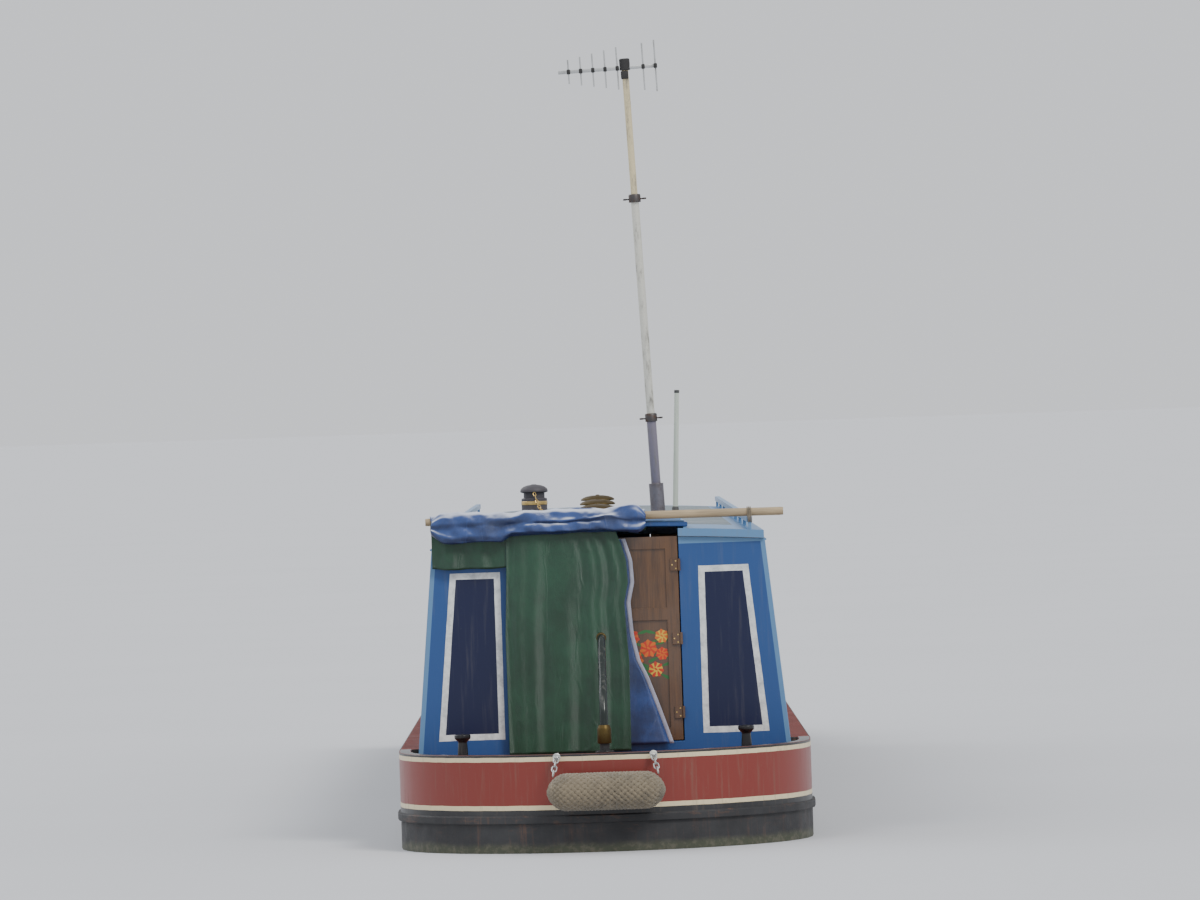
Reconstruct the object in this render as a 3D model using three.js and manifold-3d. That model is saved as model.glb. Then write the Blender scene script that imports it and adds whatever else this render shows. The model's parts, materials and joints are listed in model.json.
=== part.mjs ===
// A 45 ft steel narrowboat with a traditional stern, moored, with a tarpaulin hung over its rear doors.
// Millimetres, +Z up. The bow points to -Y and the stern to +Y, so port is +X and starboard is -X.
// The origin is the middle of the boat at the underside of the base plate.
import * as THREE from "three";
import { mergeVertices } from "three/addons/utils/BufferGeometryUtils.js";
import Module from "manifold-3d";

const wasm = await Module();
wasm.setup();

// Driving dimensions
const GAP = 0.3; // between pieces that rest on each other
const TRIM_ALLOWANCE = 12; // decks are drawn this much too wide and then trimmed by the bow's sides
const OVERRUN = 50; // how far a cutting solid reaches past the piece that it cuts
const HULL_LENGTH = 13700;
const BEAM = 2080; // over the rubbing strakes
const STEM_Y = -HULL_LENGTH / 2;
const STERN_Y = HULL_LENGTH / 2;
const BOW_SHOULDER_Y = -4300; // where the sides begin to close in towards the stem
const SWIM_START_Y = 3900; // where the underwater sides begin to close in towards the stern post
const SWIM_STATIONS = 12;
const BASE_THICKNESS = 12;
const WALL = 50; // steel, insulation and lining together
const STRAKE_DEPTH = 15;
const STRAKE_Z = 700;
const STRAKE_HEIGHT = 45;
const BASE_HALF = BEAM / 2 - STRAKE_DEPTH - 15; // half width of the hull side at the base plate
const GUNWALE_HALF = BEAM / 2 - STRAKE_DEPTH;
const GUNWALE_Z = 1040;
const STEM_TOP_Z = 1330;
const STEM_HALF = 30;
const STEM_FRONT = 22; // the stem bar stands this far ahead of the bow's sides
const STEM_BACK = 95;
const STEM_PROUD = 25; // above the gunwale at the bow
const BOW_STATIONS = 16;
const STEM_RAKE = 180; // how far the stem's foot lies behind its head
const SIDE_DECK_INNER = 880;
const SIDE_DECK_THICKNESS = 36;

const UXTER_Z = 545; // underside of the counter, just below the waterline at 560
const UXTER_THICKNESS = 12;
const SWIM_END_Y = 6050;
const POST_HALF = 30;
const POST_LENGTH = 70;
const DECK_BORE_RADIUS = 31; // for the rudder stock, through the counter
const DOLLY = { x: 700, y: 6260 };

const CABIN_FRONT_Y = -4150;
const CABIN_REAR_Y = 5780;
const CABIN_BASE_HALF = 930;
const CABIN_TOP_HALF = 830;
const ROOF_EDGE_Z = 2080;
const ROOF_THICKNESS = 40;
const ROOF_CAMBER = 30;
const ROOF_REAR_OVERHANG = 20;
const ROOF_FRONT_OVERHANG = 90;
const REAR_DECK_Z = 980;
const COUNTER_RIM = 60;
const COUNTER_SHOULDER_Y = 5950;

const WELL_END_Y = -5500;
const WELL_FLOOR_Z = 620;
const WELL_FLOOR_END_Y = -6350;
const WELL_FLOOR_THICKNESS = 30;
const STUD_Y = -6350;
const BOW_GAP = 0.6;
const FORE_DECK_Z = 1120;
const FORE_DECK_THICKNESS = 30;
const FORE_DECK_END_Y = -6780;
const LOCKER_BULKHEAD_THICKNESS = 30;
const LID = { y0: -6080, y1: -5640, half: 260, thickness: 14 };
const COAMING = { inset: 12, wall: 18, height: 24 };
const CABIN_FLOOR_Z = 170;
const CABIN_FLOOR_THICKNESS = 20;
const ENGINE = { half: 260, y0: 4260, y1: 5080, top: 760 };

const REAR_DOOR_HALF = 400;
const REAR_SILL_Z = 1040;
const REAR_DOOR_TOP_Z = 2064;
const FRONT_DOOR_HALF = 330;
const FRONT_SILL_Z = 780;
const FRONT_DOOR_TOP_Z = 1960;
const DOOR_THICKNESS = 36;
const DOOR_GAP = 5;
const MIDDLE_RAIL = 0.62; // share of a door's height
const HINGE_STANDOFF = 9; // hinge lines stand this far outside the faces of the bulkheads

const HATCH_HALF = 450;
const HATCH_LENGTH = 760;
const HATCH_TRAVEL = 620;
const HATCH_THICKNESS = 24;
const HATCH_OPENING = 680;
const RUNNER_HEIGHT = 8;
const VENT_YS = [-3000, -600, 1900];
const VENT = { radius: 60, proud: 45 };

// Windows on each side: where they stand along the boat, and their size. A round one has no height.
const WINDOWS = [
  { name: "saloon", y: -2700, width: 1050, height: 520 },
  { name: "galley", y: -500, width: 1050, height: 520 },
  { name: "bathroom", y: 1500, width: 700, height: 520 },
  { name: "cabin", y: 3600, width: 380, height: 0 },
];
const WINDOW_Z = 1640;
const WINDOW_LAP = 22; // the frame laps this far over the wall

const RAIL_X = 760;
const RAIL_TOP_Z = 2150;
const RAIL_SIZE = 28;
const RAIL_SPANS = 8;
const CHIMNEY = { x: 385, y: -2050 };

const STOCK_Y = 6580;
const STOCK_RADIUS = 24;
const STOCK_TOP_Z = 1075;
const CUP_FLOOR_Z = 8; // the rudder's pintle stands here, in the cup on the skeg
const SHAFT_Z = 300;
const SHAFT_RADIUS = 19;
const SHAFT_CLEARANCE = 0.8;
const PROPELLER_RADIUS = 215;
const PROPELLER_Y = 6215;

const BOW_FENDER = { radius: 95, length: 330, z: 1020 };
const STERN_FENDER = { radius: 94, length: 380, z: 860 };

const POLE_Y = 5782;
const POLE_RADIUS = 22;
const POLE_ENDS = [-930, 860];
const BUNCH_XS = [-235, 832]; // the tarpaulin over the pole
const DROP_XS = [-190, 432]; // the stretch of it that hangs in front of the doors
const MAST_X = -320;
const MAST_Y = 4100;
const MAST_LEAN = 2.4; // degrees, towards port
const MAST_LENGTH = 2350;
const MAST_RADIUS = 25;
const MAST_COLLARS = [530, 1680];
const SOCKET_RADIUS = 38;
const SOCKET_HALF = 75;
const ELEMENT_XS = [-160, -96, 40, 104, 168, 232, 296];
const WHIP = { x: -410, y: 3900, length: 660, footRadius: 15, tipRadius: 13, lean: 2.5 };

const rad = THREE.MathUtils.degToRad;

// Solids from three.js geometries and back again
function solid(geometry) {
  const bare = geometry.clone();
  bare.deleteAttribute("normal");
  bare.deleteAttribute("uv");
  const merged = mergeVertices(bare, 1e-4);
  const index = merged.index ?? [...Array(merged.attributes.position.count).keys()];
  return new wasm.Manifold(new wasm.Mesh({
    numProp: 3,
    vertProperties: new Float32Array(merged.attributes.position.array),
    triVerts: new Uint32Array(index.array ?? index),
  }));
}

function geometryOf(manifold) {
  const mesh = manifold.getMesh();
  const geometry = new THREE.BufferGeometry();
  geometry.setAttribute("position", new THREE.BufferAttribute(new Float32Array(mesh.vertProperties), 3));
  geometry.setIndex(new THREE.BufferAttribute(new Uint32Array(mesh.triVerts), 1));
  geometry.computeVertexNormals();
  return geometry;
}

const joined = (...parts) => geometryOf(parts.map(solid).reduce((a, b) => a.add(b)));
const cut = (body, ...tools) => geometryOf(tools.map(solid).reduce((a, b) => a.subtract(b), solid(body)));

function box(x0, y0, z0, x1, y1, z1) {
  return new THREE.BoxGeometry(x1 - x0, y1 - y0, z1 - z0)
    .translate((x0 + x1) / 2, (y0 + y1) / 2, (z0 + z1) / 2);
}

// A cylinder along an axis, from a start point
function rod(axis, x, y, z, radius, length, sides = 16) {
  const shape = new THREE.CylinderGeometry(radius, radius, length, sides).translate(0, length / 2, 0);
  if (axis === "z") shape.rotateX(Math.PI / 2);
  if (axis === "x") shape.rotateZ(-Math.PI / 2);
  return shape.translate(x, y, z);
}

// An outline in the XZ plane, extruded from y0 to y1
function prismAlongY(points, y0, y1) {
  const shape = new THREE.Shape(points.map(([x, z]) => new THREE.Vector2(x, z)));
  return new THREE.ExtrudeGeometry(shape, { depth: y1 - y0, bevelEnabled: false })
    .rotateX(Math.PI / 2).translate(0, y1, 0);
}

// An outline in the XY plane, extruded from z0 to z1
function prismAlongZ(points, z0, z1) {
  const shape = new THREE.Shape(points.map(([x, y]) => new THREE.Vector2(x, y)));
  return new THREE.ExtrudeGeometry(shape, { depth: z1 - z0, bevelEnabled: false }).translate(0, 0, z0);
}

// An outline in the YZ plane, extruded from x0 to x1
function prismAlongX(points, x0, x1) {
  const shape = new THREE.Shape(points.map(([y, z]) => new THREE.Vector2(y, z)));
  return new THREE.ExtrudeGeometry(shape, { depth: x1 - x0, bevelEnabled: false })
    .rotateX(Math.PI / 2).rotateZ(Math.PI / 2).translate(x0, 0, 0);
}

// A closed skin through sections that all have the same number of points, given as [x, y, z]
function loft(sections) {
  const count = sections[0].length;
  const positions = sections.flat(2);
  const index = [];
  sections.slice(1).forEach((_, s) => {
    for (let i = 0; i < count; i++) {
      const a = s * count + i;
      const b = s * count + (i + 1) % count;
      index.push(a, b, b + count, a, b + count, a + count);
    }
  });
  const area = (points) => THREE.ShapeUtils.area(points);
  const closeEnd = (section, base, reverse) => {
    const across = section.map(([x, , z]) => new THREE.Vector2(x, z));
    for (const [a, b, c] of THREE.ShapeUtils.triangulateShape(across, [])) {
      const same = area([across[a], across[b], across[c]]) * area(across) > 0;
      index.push(...(same === reverse ? [base + c, base + b, base + a] : [base + a, base + b, base + c]));
    }
  };
  closeEnd(sections[0], 0, true);
  closeEnd(sections.at(-1), (sections.length - 1) * count, false);
  const geometry = new THREE.BufferGeometry();
  geometry.setAttribute("position", new THREE.Float32BufferAttribute(positions, 3));
  geometry.setIndex(index);
  const volume = solid(geometry).volume();
  if (volume > 0) return geometry;
  for (let i = 0; i < index.length; i += 3) [index[i], index[i + 1]] = [index[i + 1], index[i]];
  geometry.setIndex(index);
  return geometry;
}

// Mirrors a geometry to the other side of the boat
function mirrored(geometry) {
  const copy = geometry.clone().scale(-1, 1, 1);
  const index = Array.from(copy.index ? copy.index.array : Array(copy.attributes.position.count).keys());
  for (let i = 0; i < index.length; i += 3) [index[i], index[i + 1]] = [index[i + 1], index[i]];
  copy.setIndex(index);
  copy.computeVertexNormals();
  return copy;
}

// Hull lines
const HULL_FOOT_Z = BASE_THICKNESS + GAP;
const STEM_FOOT_Y = STEM_Y + STEM_RAKE;
const smooth = (t) => t * t * (3 - 2 * t);
const alongBow = (endY, share) => BOW_SHOULDER_Y + (endY - BOW_SHOULDER_Y) * share;
const bowShare = (y) => THREE.MathUtils.clamp((BOW_SHOULDER_Y - y) / (BOW_SHOULDER_Y - STEM_Y), 0, 1);

// Height of the gunwale, which rises towards the stem
const sheer = (y) => GUNWALE_Z + (STEM_TOP_Z - GUNWALE_Z) * bowShare(y) ** 2;

// Half width of the bow at its top and at its foot, as quarter ellipses that end at the stem bar
const bowTop = (share) => STEM_HALF + (GUNWALE_HALF - STEM_HALF) * Math.sqrt(Math.max(0, 1 - share ** 2.3));
const bowFoot = (share) => STEM_HALF + (BASE_HALF - STEM_HALF) * (1 - share ** 1.9);

// Half width of the underwater stern, an S curve that ends at the stern post
const swimShare = (y) => THREE.MathUtils.clamp((y - SWIM_START_Y) / (SWIM_END_Y - SWIM_START_Y), 0, 1);
const swimHalf = (y) => POST_HALF + (BASE_HALF - POST_HALF) * (1 - smooth(swimShare(y)));

// The wall of the bow thins towards the stem
const bowWall = (share) => WALL * (1 - 0.5 * share);

// The outer side of a hull section, from the foot up, with the rubbing strake standing proud
function outerSide(footHalf, topHalf, z0, z1) {
  const at = (z) => footHalf + (topHalf - footHalf) * (z - z0) / (z1 - z0);
  return [
    [footHalf, z0],
    [at(STRAKE_Z), STRAKE_Z],
    [at(STRAKE_Z) + STRAKE_DEPTH, STRAKE_Z + 8],
    [at(STRAKE_Z) + STRAKE_DEPTH, STRAKE_Z + STRAKE_HEIGHT - 8],
    [at(STRAKE_Z), STRAKE_Z + STRAKE_HEIGHT],
    [topHalf, z1],
  ];
}

const range = (from, to, steps) =>
  Array.from({ length: steps + 1 }, (_, i) => from + (to - from) * i / steps);

// Where the bow's sections stand, from the shoulder to the stem, closer together where it turns in
const bowShares = range(0, 1, BOW_STATIONS).map((share) => Math.sin(share * Math.PI / 2));

// Half width inside the long hull sides at a height
function hullInside(z) {
  const up = (z - HULL_FOOT_Z) / (GUNWALE_Z - SIDE_DECK_THICKNESS - HULL_FOOT_Z);
  return BASE_HALF - WALL + (GUNWALE_HALF - BASE_HALF) * up;
}

// Plan of the base plate: parallel in the middle, pointed at the bow and at the stern post
function basePlate() {
  const bow = bowShares.toReversed().map((share) => [bowFoot(share), alongBow(STEM_FOOT_Y, share)]);
  const swim = range(SWIM_START_Y, SWIM_END_Y, SWIM_STATIONS).map((y) => [swimHalf(y), y]);
  const half = [...bow, ...swim, [POST_HALF, SWIM_END_Y + POST_LENGTH]];
  return prismAlongZ([...half, ...half.toReversed().map(([x, y]) => [-x, y])], 0, BASE_THICKNESS);
}

// The long side of the hull from the bow's shoulder to the counter, with the side deck on its top
function hullSide() {
  const outline = [
    ...outerSide(BASE_HALF, GUNWALE_HALF, HULL_FOOT_Z, GUNWALE_Z),
    [SIDE_DECK_INNER, GUNWALE_Z],
    [SIDE_DECK_INNER, GUNWALE_Z - SIDE_DECK_THICKNESS],
    [GUNWALE_HALF - WALL, GUNWALE_Z - SIDE_DECK_THICKNESS],
    [BASE_HALF - WALL, HULL_FOOT_Z],
  ];
  const wall = prismAlongY(outline, BOW_SHOULDER_Y + GAP, CABIN_REAR_Y - WALL - GAP);
  const uxterTop = UXTER_Z + UXTER_THICKNESS + GAP;
  const lowerStern = box(BASE_HALF - 2 * WALL, SWIM_START_Y + GAP, 0, BEAM, CABIN_REAR_Y, uxterTop);
  return cut(wall, lowerStern);
}

// One side of the bow, closing in to the stem bar and rising with the sheer. It can be made thicker inwards.
function bowSide(thicker = 0) {
  const sections = bowShares.map((share) => {
    const topY = alongBow(STEM_Y, share);
    const footY = alongBow(STEM_FOOT_Y, share);
    const topZ = sheer(topY) + thicker;
    const inward = bowWall(share) + thicker;
    const outer = outerSide(bowFoot(share), bowTop(share), HULL_FOOT_Z, topZ);
    const inner = [[bowTop(share) - inward, topZ], [bowFoot(share) - inward, HULL_FOOT_Z]];
    const raked = (z) => footY + (topY - footY) * (z - HULL_FOOT_Z) / (topZ - HULL_FOOT_Z);
    return [...outer, ...inner].map(([x, z]) => [x, raked(z), z]);
  });
  const otherSide = box(-BEAM, STEM_Y - BEAM, 0, GAP / 2, STEM_Y + BEAM, BEAM);
  return cut(loft(sections), stemBar(GAP), otherSide);
}

// The bar that closes the bow. It can be grown to make the room that it needs.
function stemBar(grow = 0) {
  const half = STEM_HALF + 10 + grow;
  const back = STEM_BACK + grow;
  const footZ = grow ? 0 : HULL_FOOT_Z;
  const outline = [
    [STEM_FOOT_Y - STEM_FRONT, footZ],
    [STEM_FOOT_Y + back, footZ],
    [STEM_Y + back, STEM_TOP_Z + STEM_PROUD + grow],
    [STEM_Y - STEM_FRONT, STEM_TOP_Z + STEM_PROUD + grow],
  ];
  return prismAlongX(outline, -half, half);
}

// One underwater side of the stern
function swimSide() {
  const top = UXTER_Z - GAP;
  const sections = range(SWIM_START_Y + GAP, SWIM_END_Y - GAP, SWIM_STATIONS + 2).map((y) => {
    const outer = swimHalf(y);
    const inner = Math.max(outer - WALL, GAP / 2);
    return [[outer, y, HULL_FOOT_Z], [outer, y, top], [inner, y, top], [inner, y, HULL_FOOT_Z]];
  });
  return loft(sections);
}

// Plan of the counter, square at the cabin and round at the stern
function counterPlan(inset, frontY) {
  const half = GUNWALE_HALF - inset;
  const depth = STERN_Y - COUNTER_SHOULDER_Y - inset;
  const arc = range(0, Math.PI, 24).map((angle) => [
    half * Math.cos(angle),
    COUNTER_SHOULDER_Y + depth * Math.sin(angle) ** 0.86,
  ]);
  return [[half, frontY], ...arc, [-half, frontY]];
}

// The flat plate under the counter, open between the swim sides where the engine stands
function uxterPlate() {
  const plan = counterPlan(0, SWIM_START_Y + GAP)
    .map(([x, y]) => [Math.sign(x) * Math.min(Math.abs(x), BASE_HALF), y]);
  const plate = prismAlongZ(plan, UXTER_Z, UXTER_Z + UXTER_THICKNESS);
  const open = range(SWIM_START_Y - OVERRUN, SWIM_END_Y - 260, SWIM_STATIONS)
    .map((y) => [Math.max(swimHalf(y) - WALL - 10, 40), y]);
  const openPlan = [...open, ...open.toReversed().map(([x, y]) => [-x, y])];
  const well = prismAlongZ(openPlan, UXTER_Z - OVERRUN, UXTER_Z + OVERRUN);
  return cut(plate, well, rod("z", 0, STOCK_Y, UXTER_Z - OVERRUN, DECK_BORE_RADIUS, 2 * OVERRUN));
}

// The decked counter with its rim, and the two mooring dollies on it
function counter() {
  const frontY = CABIN_REAR_Y - WALL;
  const body = prismAlongZ(counterPlan(0, frontY), UXTER_Z + UXTER_THICKNESS + GAP, GUNWALE_Z);
  const well = prismAlongZ(counterPlan(COUNTER_RIM, frontY - OVERRUN), REAR_DECK_Z, GUNWALE_Z + OVERRUN);
  const band = cut(
    prismAlongZ(counterPlan(-STRAKE_DEPTH, frontY), STRAKE_Z + 4, STRAKE_Z + STRAKE_HEIGHT - 4),
    prismAlongZ(counterPlan(2, frontY - OVERRUN), STRAKE_Z - OVERRUN, STRAKE_Z + 2 * OVERRUN),
  );
  const dollies = [-1, 1].map((side) => {
    const profile = [[0, -4], [58, -4], [58, 10], [28, 22], [22, 110], [40, 128], [40, 146], [0, 150]];
    return new THREE.LatheGeometry(profile.map(([r, z]) => new THREE.Vector2(r, z)), 16)
      .rotateX(Math.PI / 2).translate(side * DOLLY.x, DOLLY.y, REAR_DECK_Z);
  });
  const collar = rod("z", 0, STOCK_Y, REAR_DECK_Z - 4, 46, 64, 20);
  const deck = joined(cut(body, well), band, collar, ...dollies);
  return cut(deck, rod("z", 0, STOCK_Y, UXTER_Z - OVERRUN, DECK_BORE_RADIUS, GUNWALE_Z, 20));
}

function sternPost() {
  const y1 = SWIM_END_Y + POST_LENGTH;
  const post = joined(
    box(-POST_HALF, SWIM_END_Y, HULL_FOOT_Z, POST_HALF, y1, UXTER_Z - GAP),
    rod("y", 0, y1 - 20, SHAFT_Z, 46, 60, 20),
  );
  return cut(post, rod("y", 0, SWIM_END_Y - OVERRUN, SHAFT_Z, SHAFT_RADIUS + SHAFT_CLEARANCE, 300, 20));
}

function skeg() {
  const bar = box(-30, SWIM_END_Y + POST_LENGTH + GAP, 0, 30, STOCK_Y + 60, 26);
  const cup = rod("z", 0, STOCK_Y, 20, 42, 30, 20);
  return cut(joined(bar, cup), rod("z", 0, STOCK_Y, CUP_FLOOR_Z, 17, 80, 20));
}

function propeller() {
  const profile = [[0, -56], [34, -56], [46, -10], [42, 40], [24, 66], [0, 74]];
  const hub = new THREE.LatheGeometry(profile.map(([r, y]) => new THREE.Vector2(r, y)), 20);
  const blade = () => {
    const shape = new THREE.Shape();
    shape.moveTo(-34, 24);
    shape.quadraticCurveTo(-105, 100, -84, 165);
    shape.quadraticCurveTo(-50, PROPELLER_RADIUS, 6, PROPELLER_RADIUS);
    shape.quadraticCurveTo(84, 190, 84, 110);
    shape.quadraticCurveTo(70, 60, 34, 24);
    return new THREE.ExtrudeGeometry(shape, { depth: 9, bevelEnabled: false, curveSegments: 5 })
      .translate(0, 0, -4.5).rotateY(rad(58));
  };
  // The blades are drawn standing up along +Y, so each is laid round the shaft after its pitch is set
  const blades = range(0, 2, 2).map((i) => blade().rotateX(Math.PI / 2).rotateY(rad(120 * i)));
  const shaftLength = PROPELLER_Y - SWIM_END_Y;
  const shaft = rod("y", 0, -shaftLength, 0, SHAFT_RADIUS, shaftLength, 20);
  return joined(hub, shaft, ...blades).translate(0, PROPELLER_Y + 10, SHAFT_Z);
}

function rudder() {
  const outline = [[-150, 95], [400, 70], [448, 120], [458, 470], [430, 520], [-130, 520], [-165, 480]];
  const blade = prismAlongX(outline.map(([aft, z]) => [STOCK_Y + aft, z]), -9, 9);
  const stock = rod("z", 0, STOCK_Y, 60, STOCK_RADIUS, STOCK_TOP_Z - 60, 20);
  const pintle = rod("z", 0, STOCK_Y, CUP_FLOOR_Z + GAP, 14, 60, 16);
  return joined(blade, stock, pintle);
}

// The swan neck that stays on the rudder stock when the tiller bar is taken in
function swanNeck() {
  const points = [
    [STOCK_Y, 1150], [STOCK_Y - 6, 1230], [STOCK_Y - 70, 1330], [STOCK_Y - 190, 1440],
    [STOCK_Y - 270, 1530], [STOCK_Y - 330, 1575], [STOCK_Y - 410, 1582],
  ].map(([y, z]) => new THREE.Vector3(0, y, z));
  const section = new THREE.Shape().absarc(0, 0, 20, 0, Math.PI * 2);
  const neck = new THREE.ExtrudeGeometry(section, {
    steps: 14, extrudePath: new THREE.CatmullRomCurve3(points), curveSegments: 4,
  });
  return joined(neck, rod("z", 0, STOCK_Y, STOCK_TOP_Z + GAP, 34, 90, 20));
}

// Fore end: well deck, locker and fore deck

// The inside of the bow at one station and height, as [x, y]
function bowInside(share, z) {
  const topY = alongBow(STEM_Y, share);
  const footY = alongBow(STEM_FOOT_Y, share);
  const up = (z - HULL_FOOT_Z) / (sheer(topY) - HULL_FOOT_Z);
  const inward = bowWall(share);
  const high = bowTop(share) - inward;
  const low = bowFoot(share) - inward;
  return [low + (high - low) * up, footY + (topY - footY) * up];
}

// Cuts a deck or floor to the sides of the bow, whose twisted plates need more than the usual gap
const trimmedToBow = (plate) => cut(plate, bowSide(BOW_GAP), mirrored(bowSide(BOW_GAP)));

// A deck's plan between two places along the bow, which reaches a little into the sides at a height
function insidePlan(fromY, toY, z) {
  const stations = bowShares.map((share) => bowInside(share, z));
  const at = (y) => {
    const next = stations.findIndex(([, stationY]) => stationY <= y);
    const [a, b] = [stations[next - 1], stations[next]];
    return [a[0] + (b[0] - a[0]) * (a[1] - y) / (a[1] - b[1]), y];
  };
  const between = stations.filter(([, y]) => y < fromY && y > toY);
  const half = [at(fromY), ...between, at(toY)].map(([x, y]) => [x + TRIM_ALLOWANCE, y]);
  return [...half, ...half.toReversed().map(([x, y]) => [-x, y])];
}

function wellFloor() {
  const under = WELL_FLOOR_Z - WELL_FLOOR_THICKNESS;
  const inBow = insidePlan(BOW_SHOULDER_Y - GAP, WELL_FLOOR_END_Y, under);
  const half = hullInside(under) - GAP;
  const fore = trimmedToBow(prismAlongZ(inBow, under, WELL_FLOOR_Z));
  const aft = box(-half, BOW_SHOULDER_Y - GAP, under, half, CABIN_FRONT_Y - GAP, WELL_FLOOR_Z);
  return joined(fore, aft);
}

function foreDeck() {
  const under = FORE_DECK_Z - FORE_DECK_THICKNESS;
  const plan = insidePlan(WELL_END_Y, FORE_DECK_END_Y, under);
  const plate = cut(trimmedToBow(prismAlongZ(plan, under, FORE_DECK_Z)), stemBar(GAP));
  const lidInset = (inset, z0, z1) =>
    box(-LID.half + inset, LID.y0 + inset, z0, LID.half - inset, LID.y1 - inset, z1);
  const coaming = lidInset(COAMING.inset, FORE_DECK_Z - 10, FORE_DECK_Z + COAMING.height);
  const opening = lidInset(COAMING.inset + COAMING.wall, under - OVERRUN, FORE_DECK_Z + OVERRUN);
  const stud = joined(
    rod("z", 0, STUD_Y, FORE_DECK_Z - 5, 30, 180, 16),
    rod("x", -130, STUD_Y, FORE_DECK_Z + 130, 24, 260, 16),
  );
  return joined(cut(joined(plate, coaming), opening), stud);
}

function lockerLid() {
  const z = FORE_DECK_Z + COAMING.height + GAP;
  return joined(
    box(-LID.half, LID.y0, z, LID.half, LID.y1, z + LID.thickness),
    box(-60, LID.y1 - 50, z + LID.thickness - 2, 60, LID.y1 - 30, z + LID.thickness + 18),
  );
}

function lockerBulkhead() {
  const top = FORE_DECK_Z - FORE_DECK_THICKNESS - GAP;
  const forward = WELL_END_Y - LOCKER_BULKHEAD_THICKNESS;
  const low = insidePlan(WELL_END_Y, forward, WELL_FLOOR_Z)[1][0];
  const high = insidePlan(WELL_END_Y, forward, top)[1][0];
  const outline = [[low, WELL_FLOOR_Z + GAP], [high, top], [-high, top], [-low, WELL_FLOOR_Z + GAP]];
  return trimmedToBow(prismAlongY(outline, forward, WELL_END_Y));
}

// Cabin
const cabinUp = (z) => (z - GUNWALE_Z) / (ROOF_EDGE_Z - GUNWALE_Z);
const cabinHalf = (z) => CABIN_BASE_HALF + (CABIN_TOP_HALF - CABIN_BASE_HALF) * cabinUp(z);
const roofTop = (x) => ROOF_EDGE_Z + ROOF_CAMBER * (1 - (x / CABIN_TOP_HALF) ** 2);
const TUMBLEHOME = Math.atan((CABIN_BASE_HALF - CABIN_TOP_HALF) / (ROOF_EDGE_Z - GUNWALE_Z));

// The outline of a window in its own plane, grown or shrunk by an amount
function windowShape({ width, height }, grow) {
  const shape = new THREE.Shape();
  if (!height) return shape.absarc(0, 0, width / 2 + grow, 0, Math.PI * 2);
  const w = width / 2 + grow;
  const h = height / 2 + grow;
  const r = 70 + grow;
  shape.moveTo(-w + r, -h);
  shape.absarc(w - r, -h + r, r, -Math.PI / 2, 0);
  shape.absarc(w - r, h - r, r, 0, Math.PI / 2);
  shape.absarc(-w + r, h - r, r, Math.PI / 2, Math.PI);
  shape.absarc(-w + r, -h + r, r, Math.PI, Math.PI * 1.5);
  return shape;
}

// Puts a shape drawn in the window plane, whose outside is at 0, into the port wall
function inPortWall(geometry, y) {
  const middle = new THREE.Vector3(cabinHalf(WINDOW_Z), y, WINDOW_Z);
  return geometry.rotateX(Math.PI / 2).rotateZ(Math.PI / 2).rotateY(-TUMBLEHOME)
    .translate(middle.x, middle.y, middle.z);
}

function windowPlug(window, grow, inner, outer) {
  const shape = windowShape(window, grow);
  const plug = new THREE.ExtrudeGeometry(shape, {
    depth: outer - inner, bevelEnabled: false, curveSegments: window.height ? 2 : 8,
  }).translate(0, 0, inner);
  return inPortWall(plug, window.y);
}

function cabinSide() {
  const foot = GUNWALE_Z + GAP;
  const topZ = (x) => roofTop(x) - ROOF_THICKNESS - GAP;
  const outerTop = cabinHalf(ROOF_EDGE_Z - ROOF_THICKNESS);
  const outline = [
    [cabinHalf(foot), foot],
    [outerTop, topZ(outerTop)],
    [outerTop - WALL, topZ(outerTop)],
    [cabinHalf(foot) - WALL, foot],
  ];
  const wall = prismAlongY(outline, CABIN_FRONT_Y + WALL + GAP, CABIN_REAR_Y - WALL - GAP);
  return cut(wall, ...WINDOWS.map((window) => windowPlug(window, 0, -WALL * 3, WALL * 3)));
}

// A frame that laps over the outside of the wall, with its pane in one
function windowUnit(window) {
  return joined(windowPlug(window, -GAP, -24, 4), windowPlug(window, WINDOW_LAP, GAP, 8));
}

function roofOutline(drop) {
  const xs = range(-CABIN_TOP_HALF, CABIN_TOP_HALF, 12);
  return xs.map((x) => [x, roofTop(x) - drop]);
}

function cabinRoof() {
  const y0 = CABIN_FRONT_Y - ROOF_FRONT_OVERHANG;
  const y1 = CABIN_REAR_Y + ROOF_REAR_OVERHANG;
  const under = roofOutline(ROOF_THICKNESS).toReversed();
  const shell = prismAlongY([...roofOutline(0), ...under], y0, y1);
  const openingY0 = CABIN_REAR_Y - HATCH_OPENING;
  const opening = box(-REAR_DOOR_HALF, openingY0, GUNWALE_Z, REAR_DOOR_HALF, y1 + OVERRUN, 2 * BEAM);
  const runnerFront = CABIN_REAR_Y - HATCH_LENGTH - HATCH_TRAVEL - 30;
  const runners = [-1, 1].map((side) => {
    const x = side * (HATCH_HALF - 14);
    const top = roofTop(Math.abs(x) + 8) + RUNNER_HEIGHT - 0.5;
    return box(x - 8, runnerFront, roofTop(x) - 8, x + 8, CABIN_REAR_Y, top);
  });
  const ridge = ROOF_EDGE_Z + ROOF_CAMBER;
  const vents = VENT_YS.map((y) => rod("z", 0, y, ridge - 10, VENT.radius, VENT.proud + 10, 20));
  return joined(cut(shell, opening), ...runners, ...vents);
}

function rearHatch() {
  const xs = range(-HATCH_HALF, HATCH_HALF, 8);
  const bottom = (x) => roofTop(x) + RUNNER_HEIGHT + GAP;
  const top = xs.map((x) => [x, bottom(x) + HATCH_THICKNESS]);
  const under = xs.toReversed().map((x) => [x, bottom(x)]);
  return prismAlongY([...top, ...under], CABIN_REAR_Y - HATCH_LENGTH, CABIN_REAR_Y - 2);
}

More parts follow.
